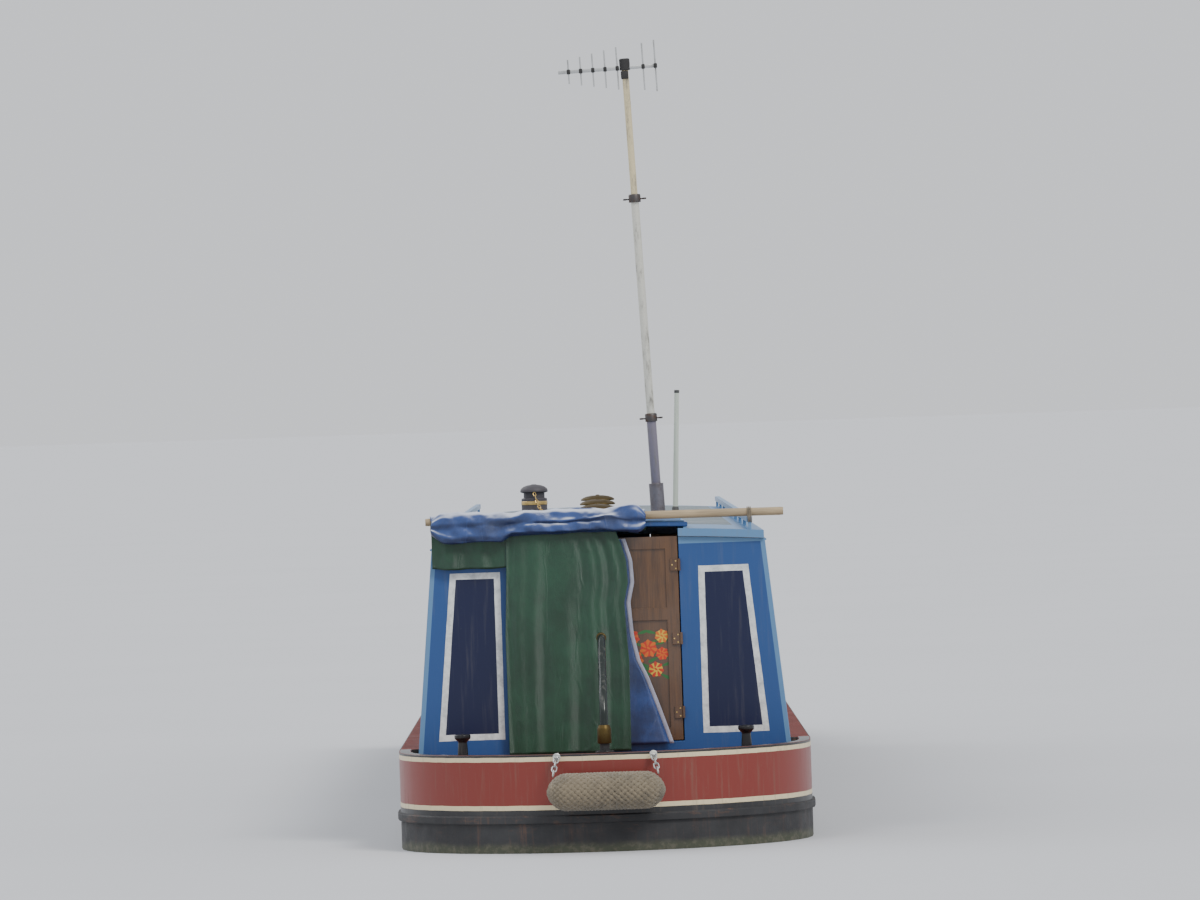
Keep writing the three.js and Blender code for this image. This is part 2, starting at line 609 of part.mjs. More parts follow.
function cabinFloor() {
  const half = BASE_HALF - WALL - 12;
  const under = CABIN_FLOOR_Z - CABIN_FLOOR_THICKNESS;
  return box(-half, CABIN_FRONT_Y + 60, under, half, SWIM_START_Y - 20, CABIN_FLOOR_Z);
}

// Concrete slabs and packing, laid as one block between the base plate and the cabin floor
function ballast() {
  const half = BASE_HALF - WALL - 32;
  const top = CABIN_FLOOR_Z - CABIN_FLOOR_THICKNESS - GAP;
  return box(-half, CABIN_FRONT_Y + 90, HULL_FOOT_Z, half, SWIM_START_Y - 50, top);
}

// A wall across the cabin under the roof, with its doorway, on a foot that is given as half of an outline
function bulkhead(y0, y1, footOutline, { half, sill, top }) {
  const corner = cabinHalf(ROOF_EDGE_Z - ROOF_THICKNESS);
  const cornerZ = roofTop(corner) - ROOF_THICKNESS - GAP;
  const under = roofOutline(ROOF_THICKNESS + GAP).filter(([x]) => Math.abs(x) < corner - 1);
  const side = [...footOutline, [corner, cornerZ]];
  const outline = [...side, ...under.toReversed(), ...side.toReversed().map(([x, z]) => [-x, z])];
  const doorway = box(-half, y0 - OVERRUN, sill, half, y1 + OVERRUN, top);
  return cut(prismAlongY(outline, y0, y1), doorway);
}

const onDeck = (z) => [[cabinHalf(z), z]];

// The front wall goes down between the hull sides to the base plate
function downToBase() {
  const deckUnder = GUNWALE_Z - SIDE_DECK_THICKNESS - GAP;
  return [
    [hullInside(HULL_FOOT_Z) - GAP, HULL_FOOT_Z],
    [hullInside(deckUnder) - GAP, deckUnder],
    [SIDE_DECK_INNER - GAP, deckUnder],
    [SIDE_DECK_INNER - GAP, GUNWALE_Z + GAP],
    [cabinHalf(GUNWALE_Z + GAP), GUNWALE_Z + GAP],
  ];
}

// A door leaf with a raised frame and a sunk panel on both faces
function doorLeaf(x0, x1, y0, y1, z0, z1) {
  const stile = 62;
  const sunk = 9;
  const leaf = box(x0, y0, z0, x1, y1, z1);
  const rail = z0 + (z1 - z0) * MIDDLE_RAIL;
  const panels = [[z0 + stile, rail - stile / 2], [rail + stile / 2, z1 - stile]];
  const recesses = panels.flatMap(([a, b]) => [
    box(x0 + stile, y1 - sunk, a, x1 - stile, y1 + 20, b),
    box(x0 + stile, y0 - 20, a, x1 - stile, y0 + sunk, b),
  ]);
  return cut(leaf, ...recesses);
}

// Hinge knuckles standing outside the face, on the line that the leaf turns about
function withKnuckles(leaf, x, face, outward, z0, z1) {
  const y = face + outward * HINGE_STANDOFF;
  const strap = [face - outward * 2, y].toSorted((a, b) => a - b);
  const knuckles = [0.14, 0.5, 0.86].map((share) => {
    const z = z0 + (z1 - z0) * share - 30;
    return joined(rod("z", x, y, z, 8, 60, 12), box(x - 44, strap[0], z, x, strap[1], z + 60));
  });
  return joined(leaf, ...knuckles);
}

function rearDoor() {
  const [y0, y1] = [CABIN_REAR_Y - DOOR_THICKNESS, CABIN_REAR_Y];
  const z0 = REAR_SILL_Z + DOOR_GAP;
  const leaf = doorLeaf(DOOR_GAP / 2, REAR_DOOR_HALF - DOOR_GAP, y0, y1, z0, REAR_DOOR_TOP_Z);
  return withKnuckles(leaf, REAR_DOOR_HALF, y1, 1, REAR_SILL_Z, REAR_DOOR_TOP_Z);
}

function frontDoor() {
  const [y0, y1] = [CABIN_FRONT_Y, CABIN_FRONT_Y + DOOR_THICKNESS];
  const [z0, z1] = [FRONT_SILL_Z + DOOR_GAP, FRONT_DOOR_TOP_Z - DOOR_GAP];
  const leaf = doorLeaf(DOOR_GAP / 2, FRONT_DOOR_HALF - DOOR_GAP, y0, y1, z0, z1);
  return withKnuckles(leaf, FRONT_DOOR_HALF, y0, -1, FRONT_SILL_Z, FRONT_DOOR_TOP_Z);
}

// Roof gear
function handrail(side) {
  const y0 = CABIN_FRONT_Y + 60;
  const y1 = CABIN_REAR_Y + ROOF_REAR_OVERHANG - 5;
  const x = side * RAIL_X;
  const foot = roofTop(RAIL_X - 8) + GAP;
  const bar = box(x - RAIL_SIZE / 2, y0, RAIL_TOP_Z - RAIL_SIZE, x + RAIL_SIZE / 2, y1, RAIL_TOP_Z);
  const posts = range(y0, y1 - 40, RAIL_SPANS)
    .map((y) => box(x - 8, y, foot, x + 8, y + 40, RAIL_TOP_Z - RAIL_SIZE / 2));
  return joined(bar, ...posts);
}

// The chimney's cast collar on the roof, with a domed cap on it instead of the tall chimney
function chimney() {
  const profile = [[0, 0], [95, 0], [95, 8], [78, 14], [78, 90], [64, 92], [64, 124], [82, 126], [84, 138],
    [72, 156], [40, 170], [0, 175]];
  return new THREE.LatheGeometry(profile.map(([r, z]) => new THREE.Vector2(r, z)), 16).rotateX(Math.PI / 2)
    .translate(CHIMNEY.x, CHIMNEY.y, roofTop(CHIMNEY.x - 95) + GAP);
}

const mastFootZ = roofTop(MAST_X) + 26;

// Stands a piece that is drawn along +Y on the foot of the leaning mast
function alongMast(geometry) {
  return geometry.rotateX(Math.PI / 2).rotateY(rad(MAST_LEAN)).translate(MAST_X, MAST_Y, mastFootZ);
}

function mastSocket() {
  const [x0, x1] = [MAST_X - SOCKET_HALF, MAST_X + SOCKET_HALF];
  const [y0, y1] = [MAST_Y - SOCKET_HALF, MAST_Y + SOCKET_HALF];
  const plate = box(x0, y0, roofTop(x0) + GAP, x1, y1, mastFootZ + 4);
  const cylinder = (radius, from, to) =>
    alongMast(new THREE.CylinderGeometry(radius, radius, to - from, 20).translate(0, (from + to) / 2, 0));
  const tube = cylinder(SOCKET_RADIUS, -5, 185);
  const bore = cylinder(MAST_RADIUS + 3, 2, 302);
  const belowRoof = box(x0 - OVERRUN, y0 - OVERRUN, 0, x1 + OVERRUN, y1 + OVERRUN, roofTop(x1) + GAP);
  return cut(joined(plate, tube), bore, belowRoof);
}

function mast() {
  const tube = new THREE.CylinderGeometry(MAST_RADIUS, MAST_RADIUS, MAST_LENGTH, 16)
    .translate(0, MAST_LENGTH / 2 + 2 + GAP, 0);
  const collars = MAST_COLLARS.map((h) => new THREE.CylinderGeometry(32, 32, 44, 16).translate(0, h, 0));
  return alongMast(joined(tube, ...collars));
}

function aerial() {
  const h = MAST_LENGTH + 2 + 2 * GAP;
  const boom = new THREE.BoxGeometry(520, 24, 24).translate(90, h + 12, 0);
  const clamp = new THREE.CylinderGeometry(28, 28, 60, 16).translate(0, h + 30, 0);
  const elements = ELEMENT_XS
    .map((x, i) => new THREE.BoxGeometry(10, 270 - 24 * i, 10).translate(x, h + 12, 0));
  return alongMast(joined(boom, clamp, ...elements));
}

function whipAerial() {
  const { x, y, length, footRadius, tipRadius } = WHIP;
  const foot = roofTop(x - 26) + GAP;
  const belowRoof = box(x - OVERRUN, y - OVERRUN, 0, x + OVERRUN, y + OVERRUN, roofTop(x + 26) + GAP);
  const base = cut(rod("z", x, y, foot - 10, 26, 60, 16), belowRoof);
  const whip = new THREE.CylinderGeometry(tipRadius, footRadius, length, 12).translate(0, length / 2, 0)
    .rotateX(Math.PI / 2).rotateY(rad(-WHIP.lean)).translate(x, y, foot + 40);
  return joined(base, whip);
}

// The pole that lies across the handrails behind the hatch
function crossPole() {
  const [x0, x1] = POLE_ENDS;
  return rod("x", x0, POLE_Y, RAIL_TOP_Z + POLE_RADIUS + GAP, POLE_RADIUS, x1 - x0, 16);
}

// A rope fender hanging against the raked stem
function bowFender() {
  const { radius, length, z } = BOW_FENDER;
  const stemTop = STEM_TOP_Z + STEM_PROUD;
  const rake = Math.atan(STEM_RAKE / (stemTop - BASE_THICKNESS));
  const stemFaceY = STEM_Y - STEM_FRONT + STEM_RAKE * (stemTop - z) / (stemTop - BASE_THICKNESS);
  const away = radius + 3 * GAP;
  return new THREE.CapsuleGeometry(radius, length, 4, 12).rotateX(Math.PI / 2 + rake)
    .translate(0, stemFaceY - away * Math.cos(rake), z - away * Math.sin(rake));
}

// A rope fender lying across the back of the counter
function sternFender() {
  const { radius, length, z } = STERN_FENDER;
  return new THREE.CapsuleGeometry(radius, length, 4, 12).rotateZ(Math.PI / 2)
    .translate(0, STERN_Y + radius + GAP, z);
}

// The tarpaulin: bunched over the pole on the port side, with one drop hanging in front of the doors
function tarpaulin() {
  const face = POLE_Y + POLE_RADIUS + GAP;
  const off = (outline) => outline.map(([aft, z]) => [face + aft, z]);
  const bunch = [
    [0, 2178], [12, 2202], [50, 2204], [84, 2176], [90, 2110], [70, 2078], [18, 2074], [0, 2096],
  ];
  const drop = [[22, 2150], [46, 2150], [52, 1500], [44, 1000], [20, 1000], [28, 1500]];
  return joined(prismAlongX(off(bunch), ...BUNCH_XS), prismAlongX(off(drop), ...DROP_XS));
}

// Nodes: name, colour, roughness, metalness and geometry
const BLUE = 0x2c4a78;
const NAVY = 0x101a33;
const STEEL_BLACK = 0x14161a;
const RED = 0x6e1f1a;
const BROWN = 0x5a3418;
const boat = new THREE.Group();

function add(name, color, roughness, metalness, geometry) {
  const mesh = new THREE.Mesh(geometry, new THREE.MeshStandardMaterial({ color, roughness, metalness }));
  mesh.name = name;
  boat.add(mesh);
}

add("base_plate", STEEL_BLACK, 0.8, 0.2, basePlate());
add("hull_side_left", STEEL_BLACK, 0.7, 0.2, hullSide());
add("hull_side_right", STEEL_BLACK, 0.7, 0.2, mirrored(hullSide()));
add("bow_side_left", STEEL_BLACK, 0.7, 0.2, bowSide());
add("bow_side_right", STEEL_BLACK, 0.7, 0.2, mirrored(bowSide()));
add("stem_bar", STEEL_BLACK, 0.7, 0.2, stemBar());
add("swim_left", STEEL_BLACK, 0.8, 0.2, swimSide());
add("swim_right", STEEL_BLACK, 0.8, 0.2, mirrored(swimSide()));
add("uxter_plate", STEEL_BLACK, 0.8, 0.2, uxterPlate());
add("counter", STEEL_BLACK, 0.7, 0.2, counter());
add("stern_post", STEEL_BLACK, 0.8, 0.2, sternPost());
add("skeg", STEEL_BLACK, 0.8, 0.2, skeg());
add("propeller", 0x9a7a3c, 0.4, 0.9, propeller());
add("rudder", STEEL_BLACK, 0.8, 0.2, rudder());
add("swan_neck", NAVY, 0.4, 0.3, swanNeck());

add("well_floor", RED, 0.8, 0.1, wellFloor());
add("locker_bulkhead", BLUE, 0.5, 0.1, lockerBulkhead());
add("fore_deck", RED, 0.7, 0.1, foreDeck());
add("gas_locker_lid", RED, 0.7, 0.1, lockerLid());

add("cabin_floor", 0x6b4a2a, 0.6, 0, cabinFloor());
add("ballast", 0x6a6a66, 0.9, 0, ballast());
add("engine_block", 0x3c5a48, 0.6, 0.4,
  box(-ENGINE.half, ENGINE.y0, HULL_FOOT_Z, ENGINE.half, ENGINE.y1, ENGINE.top));
add("cabin_side_left", BLUE, 0.45, 0.1, cabinSide());
add("cabin_side_right", BLUE, 0.45, 0.1, mirrored(cabinSide()));
for (const window of WINDOWS) {
  add(`${window.name}_window_left`, 0xb8bcc0, 0.3, 0.6, windowUnit(window));
  add(`${window.name}_window_right`, 0xb8bcc0, 0.3, 0.6, mirrored(windowUnit(window)));
}
add("cabin_roof", 0x5c6670, 0.7, 0.1, cabinRoof());
add("rear_hatch", BLUE, 0.5, 0.1, rearHatch());
const rearDoorway = { half: REAR_DOOR_HALF, sill: REAR_SILL_Z, top: 2 * BEAM };
const frontDoorway = { half: FRONT_DOOR_HALF, sill: FRONT_SILL_Z, top: FRONT_DOOR_TOP_Z };
add("rear_bulkhead", NAVY, 0.45, 0.1,
  bulkhead(CABIN_REAR_Y - WALL, CABIN_REAR_Y, onDeck(REAR_DECK_Z + GAP), rearDoorway));
add("front_bulkhead", NAVY, 0.45, 0.1,
  bulkhead(CABIN_FRONT_Y, CABIN_FRONT_Y + WALL, downToBase(), frontDoorway));


add("rear_door_left", BROWN, 0.35, 0, rearDoor());
add("rear_door_right", BROWN, 0.35, 0, mirrored(rearDoor()));
add("front_door_left", BLUE, 0.4, 0.1, frontDoor());
add("front_door_right", BLUE, 0.4, 0.1, mirrored(frontDoor()));

add("handrail_left", 0x8a2f22, 0.5, 0.2, handrail(1));
add("handrail_right", 0x8a2f22, 0.5, 0.2, handrail(-1));
add("chimney", 0x1a1a1c, 0.5, 0.5, chimney());
add("mast_socket", 0x333840, 0.6, 0.5, mastSocket());
add("mast", 0xa9aaa4, 0.45, 0.7, mast());
add("tv_aerial", 0xb5b8b8, 0.4, 0.8, aerial());
add("whip_aerial", 0xaab0a0, 0.5, 0.2, whipAerial());
add("cross_pole", 0xb79a6c, 0.8, 0, crossPole());
add("tarpaulin", 0x1f5a3c, 0.6, 0, tarpaulin());
add("bow_fender", 0x8a7a5c, 0.95, 0, bowFender());
add("stern_fender", 0x8a7a5c, 0.95, 0, sternFender());

export default boat;
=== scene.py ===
"""Looks for a 45 ft steel narrowboat with a traditional stern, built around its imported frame.

Metres, +Z up. The bow points to -Y and the stern to +Y, so port is +X and starboard is -X.
"""

import functools
import json
import math

import bmesh
import bpy
from bpy.props import BoolProperty, FloatProperty, FloatVectorProperty, IntProperty, PointerProperty
from mathutils import Matrix, Vector, noise
from mathutils.bvhtree import BVHTree

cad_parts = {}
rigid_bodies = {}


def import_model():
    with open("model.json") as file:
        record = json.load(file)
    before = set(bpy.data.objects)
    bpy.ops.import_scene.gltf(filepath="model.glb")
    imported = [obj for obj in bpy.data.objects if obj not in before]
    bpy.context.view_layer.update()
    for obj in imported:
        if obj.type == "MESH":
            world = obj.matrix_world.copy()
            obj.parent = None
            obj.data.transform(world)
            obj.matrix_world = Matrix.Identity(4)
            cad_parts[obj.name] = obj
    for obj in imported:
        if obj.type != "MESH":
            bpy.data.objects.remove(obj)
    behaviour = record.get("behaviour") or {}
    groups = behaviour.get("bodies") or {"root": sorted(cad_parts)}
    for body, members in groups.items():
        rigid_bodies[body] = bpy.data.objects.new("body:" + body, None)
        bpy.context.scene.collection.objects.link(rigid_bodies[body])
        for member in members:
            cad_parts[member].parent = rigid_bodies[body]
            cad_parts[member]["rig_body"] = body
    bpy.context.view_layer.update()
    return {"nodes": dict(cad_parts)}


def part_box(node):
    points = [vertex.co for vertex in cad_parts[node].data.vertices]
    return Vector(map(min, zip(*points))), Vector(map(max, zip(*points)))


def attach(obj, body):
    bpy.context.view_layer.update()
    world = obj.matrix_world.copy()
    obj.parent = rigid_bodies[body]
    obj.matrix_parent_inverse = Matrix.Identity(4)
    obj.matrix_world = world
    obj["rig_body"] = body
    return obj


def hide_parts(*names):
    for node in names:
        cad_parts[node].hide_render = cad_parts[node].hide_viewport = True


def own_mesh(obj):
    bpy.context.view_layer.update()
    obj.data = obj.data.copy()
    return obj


bl_info = {
    "name": "Narrowboat Looks",
    "version": (1, 0, 0),
    "blender": (4, 5, 0),
    "location": "View3D > Sidebar > Narrowboat",
    "description": "Finishes the plates, paint, joinery, ropes and tarpaulin of a narrowboat around its frame",
    "category": "Object",
}

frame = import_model()
NODES = frame["nodes"]

# The sign of x on each side
SIDES = {"left": 1, "right": -1}

# Places that the frame gives
CABIN_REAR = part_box("rear_bulkhead")[1].y
CABIN_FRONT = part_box("front_bulkhead")[0].y
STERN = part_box("counter")[1].y
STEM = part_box("stem_bar")[0].y
BEAM_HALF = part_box("hull_side_left")[1].x
GUNWALE_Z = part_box("hull_side_left")[1].z
REAR_DECK_Z = GUNWALE_Z - 0.06
FORE_DECK_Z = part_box("gas_locker_lid")[0].z - 0.0243
POLE_LOW, POLE_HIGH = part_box("cross_pole")
POLE_MIDDLE = (POLE_LOW + POLE_HIGH) / 2
POLE_RADIUS = (POLE_HIGH.z - POLE_LOW.z) / 2

# The stage's floor lies at the waterline. Its faces reach from these half sizes round the boat to far away, and its
# opening is traced along the hull from behind the stem.
WATERLINE_Z = 0.56
FLOOR_NEAR = (2.0, 8.0)
FLOOR_FAR = (4000.0, 4000.0)
OPENING_START = 0.175
OPENING_STEP = 0.1
OPENING_STEPS = 135
OPENING_INSET = 0.006

# Places on the hull
BOW_SHOULDER_Y = -4.3
STEM_PLATE_Y = -6.85
STEM_PLATE_TOP_Z = 1.33
STRAKE_TOP_Z = 0.745
STRAKE_FOOT_Z = 0.7
GUARD_DROP = 0.022
COUNTER_SHOULDER_Y = 5.95
COUNTER_ROUND = 1.139
BAND_ZS = (0.772, 1.03)
BAND_RED_ZS = (0.795, 1.008)
SCUM_HEIGHTS = (0.045, 0.085)
ANODE_Z = 0.3
ANODES = [("swim", 4.55), ("bow_side", -4.75)]
FILLERS = [(0.52, 6.2, 0.036), (-0.52, 6.2, 0.03)]
STOCK_TOP_Z = 1.075
SWAN_NECK = [(6.58, 1.15), (6.574, 1.23), (6.51, 1.33), (6.39, 1.44), (6.31, 1.53), (6.25, 1.575),
             (6.17, 1.582)]

# The cabin's panels as places along the boat or heights, and its windows as place, width and height.
# A window of height 0 is round.
SIDE_PANELS = [(-4.05, 0.75), (0.95, 2.05), (2.4, 5.6)]
SIDE_PANEL_ZS = (1.115, 1.975)
END_PANEL_ZS = (1.075, 1.912)
FRONT_PANEL_FOOT_Z = 1.15
WINDOWS = {"saloon": (-2.7, 1.05, 0.52), "galley": (-0.5, 1.05, 0.52), "bathroom": (1.5, 0.7, 0.52),
           "cabin": (3.6, 0.38, 0)}
WINDOW_Z = 1.64
WINDOW_CORNER = 0.07
HOPPER_DEPTH = 0.17
CURTAIN_DEPTH = 0.075
CURTAIN_FOLDS = 6

# Doors
REAR_DOOR_HALF = 0.4
DOOR_GAP = 0.005
PANEL_SUNK = 0.009
REAR_DOORWAY_ZS = (1.04, 2.064)
FRONT_DOOR_HALF = 0.33
FRONT_DOORWAY_ZS = (0.78, 1.96)
HINGE_SHARES = (0.14, 0.5, 0.86)
HINGE_STANDOFF = 0.009
PAINT_LAYER = 0.00002

# On the roof and at the bow
VENT_YS = (-3.0, -0.6, 1.9)
CHIMNEY_PLACE = (0.385, -2.05)
BOW_RAKE = math.atan(0.18 / 1.343)
FENDER_SIZES = {"bow_fender": (0.095, 0.33), "stern_fender": (0.094, 0.38)}
CHAIN_LINK = (0.036, 0.023, 0.0035)

# The tarpaulin. Its edges are lists of (height, x) pairs from the top down.
BUNCH_XS = (-0.24, 0.832)
BUNCH_FOOT_Z = 2.076
BUNCH_STEP_X = 0.43
VALANCE_XS = (0.455, 0.832)
VALANCE_FOOT_Z = 1.932
DROP_ZS = (2.15, 1.0)
DROP_LEFT = [(2.15, 0.446), (1.9, 0.45), (1.6, 0.464), (1.0, 0.462)]
DROP_RIGHT = [(2.15, -0.08), (2.03, -0.128), (1.95, -0.15), (1.84, -0.156), (1.74, -0.134), (1.58, -0.142),
              (1.45, -0.15), (1.0, -0.146)]
HEM_LINE = [(2.06, -0.136), (1.95, -0.168), (1.84, -0.174), (1.74, -0.152), (1.58, -0.164), (1.45, -0.192),
            (1.37, -0.23), (1.25, -0.274), (1.13, -0.315), (1.0, -0.358)]
HEM_WIDTH = 0.022
DROP_Y = 5.8405
UNDER_LAYER_Y = 5.8185

# The mast leans to port, and the rod aerial beside it to starboard
MAST_FOOT = Vector((-0.32, 4.1, 2.1316))
MAST_LEAN = math.radians(2.4)
MAST_LENGTH = 2.35
MAST_COLLARS = (0.53, 1.68)
ELEMENT_XS = (-0.16, -0.096, 0.04, 0.104, 0.168, 0.232, 0.296)
WHIP_PLACE = (-0.41, 3.9)
WHIP_LEAN = math.radians(2.5)
WHIP_LENGTH = 0.66

# The camera looks at this place, and is turned a little about its own line of sight
AIM_X = -0.025
AIM_Z = 2.506
CAMERA_ROLL = -1.9

# The cabin's sides lean in from the gunwale to the roof's edge
CABIN_BASE_HALF = 0.93
CABIN_TOP_HALF = 0.83
ROOF_EDGE_Z = 2.08
ROOF_CAMBER = 0.03
TUMBLEHOME = (CABIN_BASE_HALF - CABIN_TOP_HALF) / (ROOF_EDGE_Z - GUNWALE_Z)
TUMBLEHOME_ANGLE = math.atan(TUMBLEHOME)


def cabin_half(z):
    return CABIN_BASE_HALF - TUMBLEHOME * (z - GUNWALE_Z)


def roof_top(x):
    return ROOF_EDGE_Z + ROOF_CAMBER * (1 - (x / CABIN_TOP_HALF) ** 2)


def between(line, z):
    """The value at a height on a line of (height, value) pairs that falls from one to the next"""
    for (z0, a), (z1, b) in zip(line, line[1:]):
        if z >= z1:
            return a + (b - a) * clipped((z0 - z) / (z0 - z1))
    return line[-1][1]


def colour_property(name, description, default):
    return FloatVectorProperty(name=name, description=description, default=default, size=3,
                               subtype="COLOR", min=0.0, max=1.0)


def length_property(name, default, low, high, description):
    return FloatProperty(name=name, description=description, default=default, min=low, max=high, unit="LENGTH")


class NarrowboatColours(bpy.types.PropertyGroup):
    """Paints, timber and cloth of the boat"""
    cabin: colour_property("Cabin", "Blue of the cabin's frames", (0.022, 0.072, 0.225))
    panel: colour_property("Panels", "Navy of the cabin's panels", (0.006, 0.01, 0.045))
    edge: colour_property("Edges", "Light blue of the roof's edge and handrails", (0.1, 0.22, 0.4))
    line: colour_property("Coach lines", "White of the lines round the panels", (0.72, 0.76, 0.76))
    deck: colour_property("Decks", "Red of the decks", (0.17, 0.03, 0.02))
    roof: colour_property("Roof", "Grey of the roof", (0.16, 0.19, 0.21))
    blacking: colour_property("Blacking", "Coating of the hull", (0.012, 0.012, 0.014))
    rust: colour_property("Rust", "Rust where the blacking has worn", (0.16, 0.055, 0.02))
    door: colour_property("Rear doors", "Brown of the grained rear doors", (0.115, 0.049, 0.014))
    band: colour_property("Stern band", "Dull red of the band round the counter", (0.19, 0.026, 0.018))
    cream: colour_property("Cream", "Cream of the ornament", (0.66, 0.56, 0.36))
    red: colour_property("Red", "Red of the ornament", (0.5, 0.04, 0.018))
    sheet_green: colour_property("Sheet, green side", "Green face of the tarpaulin", (0.006, 0.062, 0.028))
    sheet_blue: colour_property("Sheet, blue side", "Blue face of the tarpaulin", (0.022, 0.062, 0.225))
    hem: colour_property("Sheet hem", "Pale hem of the tarpaulin", (0.36, 0.37, 0.46))
    pole: colour_property("Pole", "Bare timber of the cross pole", (0.44, 0.34, 0.21))
    rope: colour_property("Rope", "Fender rope", (0.3, 0.245, 0.165))
    brass: colour_property("Brass", "Brass of the fittings", (0.74, 0.52, 0.2))


class NarrowboatSizes(bpy.types.PropertyGroup):
    """Sizes that a user would change"""
    line_width: length_property("Coach line", 0.031, 0.005, 0.08, "Width of the end panels' white lines")
    side_line_width: length_property("Side line", 0.022, 0.005, 0.08, "Width of the side panels' white lines")
    panel_inner: length_property("Panel inner edge", 0.496, 0.42, 0.7, "Half distance between the end panels")
    panel_margin: length_property("Panel margin", 0.1, 0.02, 0.3, "From the end panels to the cabin's corner")
    edge_strip: length_property("Edge strip", 0.024, 0.0, 0.08, "Light blue strip at the cabin's corners")
    fold_count: IntProperty(name="Folds", description="Folds across the hanging sheet", default=4, min=2, max=20)
    fold_depth: length_property("Fold depth", 0.013, 0.0, 0.03, "Depth of the hanging sheet's folds")
    rope_turns: IntProperty(name="Rope turns", description="Strands round a fender each way", default=18,
                            min=6, max=30)
    camera_lens: FloatProperty(name="Lens", description="The camera's focal length", default=216.0,
                               min=20.0, max=400.0, unit="CAMERA")
    camera_distance: length_property("Distance", 36.0, 10.0, 100.0, "From the rear doors to the camera")
    camera_height: length_property("Eye height", 2.08, 0.2, 10.0, "The camera above the water")
    show_floor: BoolProperty(name="Floor", description="Lay the pale floor at the waterline", default=True)


class Builder:
    """Gives an operator the settings that it reads"""

    @property
    def colours(self):
        return bpy.context.scene.narrowboat_colours

    @property
    def sizes(self):
        return bpy.context.scene.narrowboat_sizes


# Materials

def operation(name, flipped=False):
    """A method that joins a wire and other values by a Math node"""
    def join(self, *others):
        return self.finish.math(name, *((*others, self) if flipped else (self, *others)))
    return join


class Wire:
    """A node's output, whose sums and products are Math nodes"""
    __add__, __radd__ = operation("ADD"), operation("ADD", True)
    __sub__, __rsub__ = operation("SUBTRACT"), operation("SUBTRACT", True)
    __mul__, __rmul__ = operation("MULTIPLY"), operation("MULTIPLY", True)
    __gt__, __lt__, __abs__ = operation("GREATER_THAN"), operation("LESS_THAN"), operation("ABSOLUTE")

    def __init__(self, finish, socket):
        self.finish, self.socket = finish, socket

    def clamped(self):
        self.socket.node.use_clamp = True
        return self


class Finish:
    """One material: its nodes are added by short calls, and each call returns the node's output."""

    def __init__(self, name, roughness=0.5, metallic=0.0, **sockets):
        self.material = bpy.data.materials.new(name)
        self.material.use_nodes = True
        self.tree = self.material.node_tree
        self.shader = self.tree.nodes["Principled BSDF"]
        self.set(Roughness=roughness, Metallic=metallic, **sockets)
        self.place = self.node("TexCoord", "Object")

    def put(self, target, value):
        if isinstance(value, Wire):
            self.tree.links.new(value.socket, target)
        else:
            target.default_value = (*value[:3], 1.0) if target.type == "RGBA" else value

    def set(self, **sockets):
        for name, value in sockets.items():
            self.put(self.shader.inputs[name.replace("_", " ")], value)

    def node(self, kind, output=0, inputs=(), **settings):
        made = self.tree.nodes.new("ShaderNode" + kind)
        for key, value in settings.items():
            setattr(made, key, value)
        for key, value in dict(inputs).items():
            self.put(made.inputs[key], value)
        return Wire(self, made.outputs[output])

    def math(self, operation, *values):
        return self.node("Math", inputs=list(enumerate(values)), operation=operation)

    def mix(self, share, a, b, blend="MIX"):
        return self.node("Mix", 2, {0: share, 6: a, 7: b}, data_type="RGBA", blend_type=blend)

    def scaled(self, x, y, z):
        return self.node("Mapping", inputs={"Vector": self.place, "Scale": (x, y, z)})

    def noise(self, scale, detail, rough, place=None, distortion=0.0):
        return self.node("TexNoise", "Fac", {"Vector": place or self.place, "Scale": scale, "Detail": detail,
                                             "Roughness": rough, "Distortion": distortion})

    def cells(self, scale, output="Distance"):
        return self.node("TexVoronoi", output, {"Vector": self.place, "Scale": scale, "Randomness": 1.0})

    def wave(self, scale, direction="X", distortion=0.0, place=None):
        return self.node("TexWave", "Fac", {
            "Vector": place or self.place, "Scale": scale, "Distortion": distortion, "Detail": 2.0,
            "Detail Scale": 1.0}, bands_direction=direction)

    def step(self, value, low, high):
        """0 below low, 1 above high and a smooth way between"""
        return self.node("MapRange", inputs={"Value": value, "From Min": low, "From Max": high, "To Min": 0.0,
                                             "To Max": 1.0}, interpolation_type="SMOOTHSTEP")

    def axis(self, name, place=None):
        return self.node("SeparateXYZ", name, {0: place or self.place})

    def facing(self, normal):
        """How far the surface faces up, by its smooth or its true normal"""
        return self.axis("Z", self.node("NewGeometry", normal))

    def plane(self, place, a, b, c, d):
        """The signed value a x + b y + c z + d"""
        return self.node("VectorMath", "Value", {0: place, 1: (a, b, c)}, operation="DOT_PRODUCT") + d

    def largest(self, values):
        return functools.reduce(lambda a, b: self.math("MAXIMUM", a, b), values)

    def bump(self, height, distance, strength=1.0, normal=None):
        inputs = {"Height": height, "Distance": distance, "Strength": strength}
        if normal:
            inputs["Normal"] = normal
        result = self.node("Bump", inputs=inputs)
        self.set(Normal=result)
        return result


def mirrored_place(mat):
    """Object coordinates with x made positive, so that both sides are painted alike"""
    return mat.node("CombineXYZ", inputs={0: abs(mat.axis("X")), 1: mat.axis("Y"), 2: mat.axis("Z")})


def shaded(share, colour, more=0.0):
    """A colour made darker or lighter by a share, with some grey added"""
    return tuple(min(1.0, share * c + more) for c in colour)


def rain_streaks(mat, scale=5.0):
    """Vertical dirt streaks, 0 to 1"""
    return mat.step(mat.noise(scale, 5, 0.6, mat.scaled(7.0, 8.0, 0.5)), 0.5, 0.78)


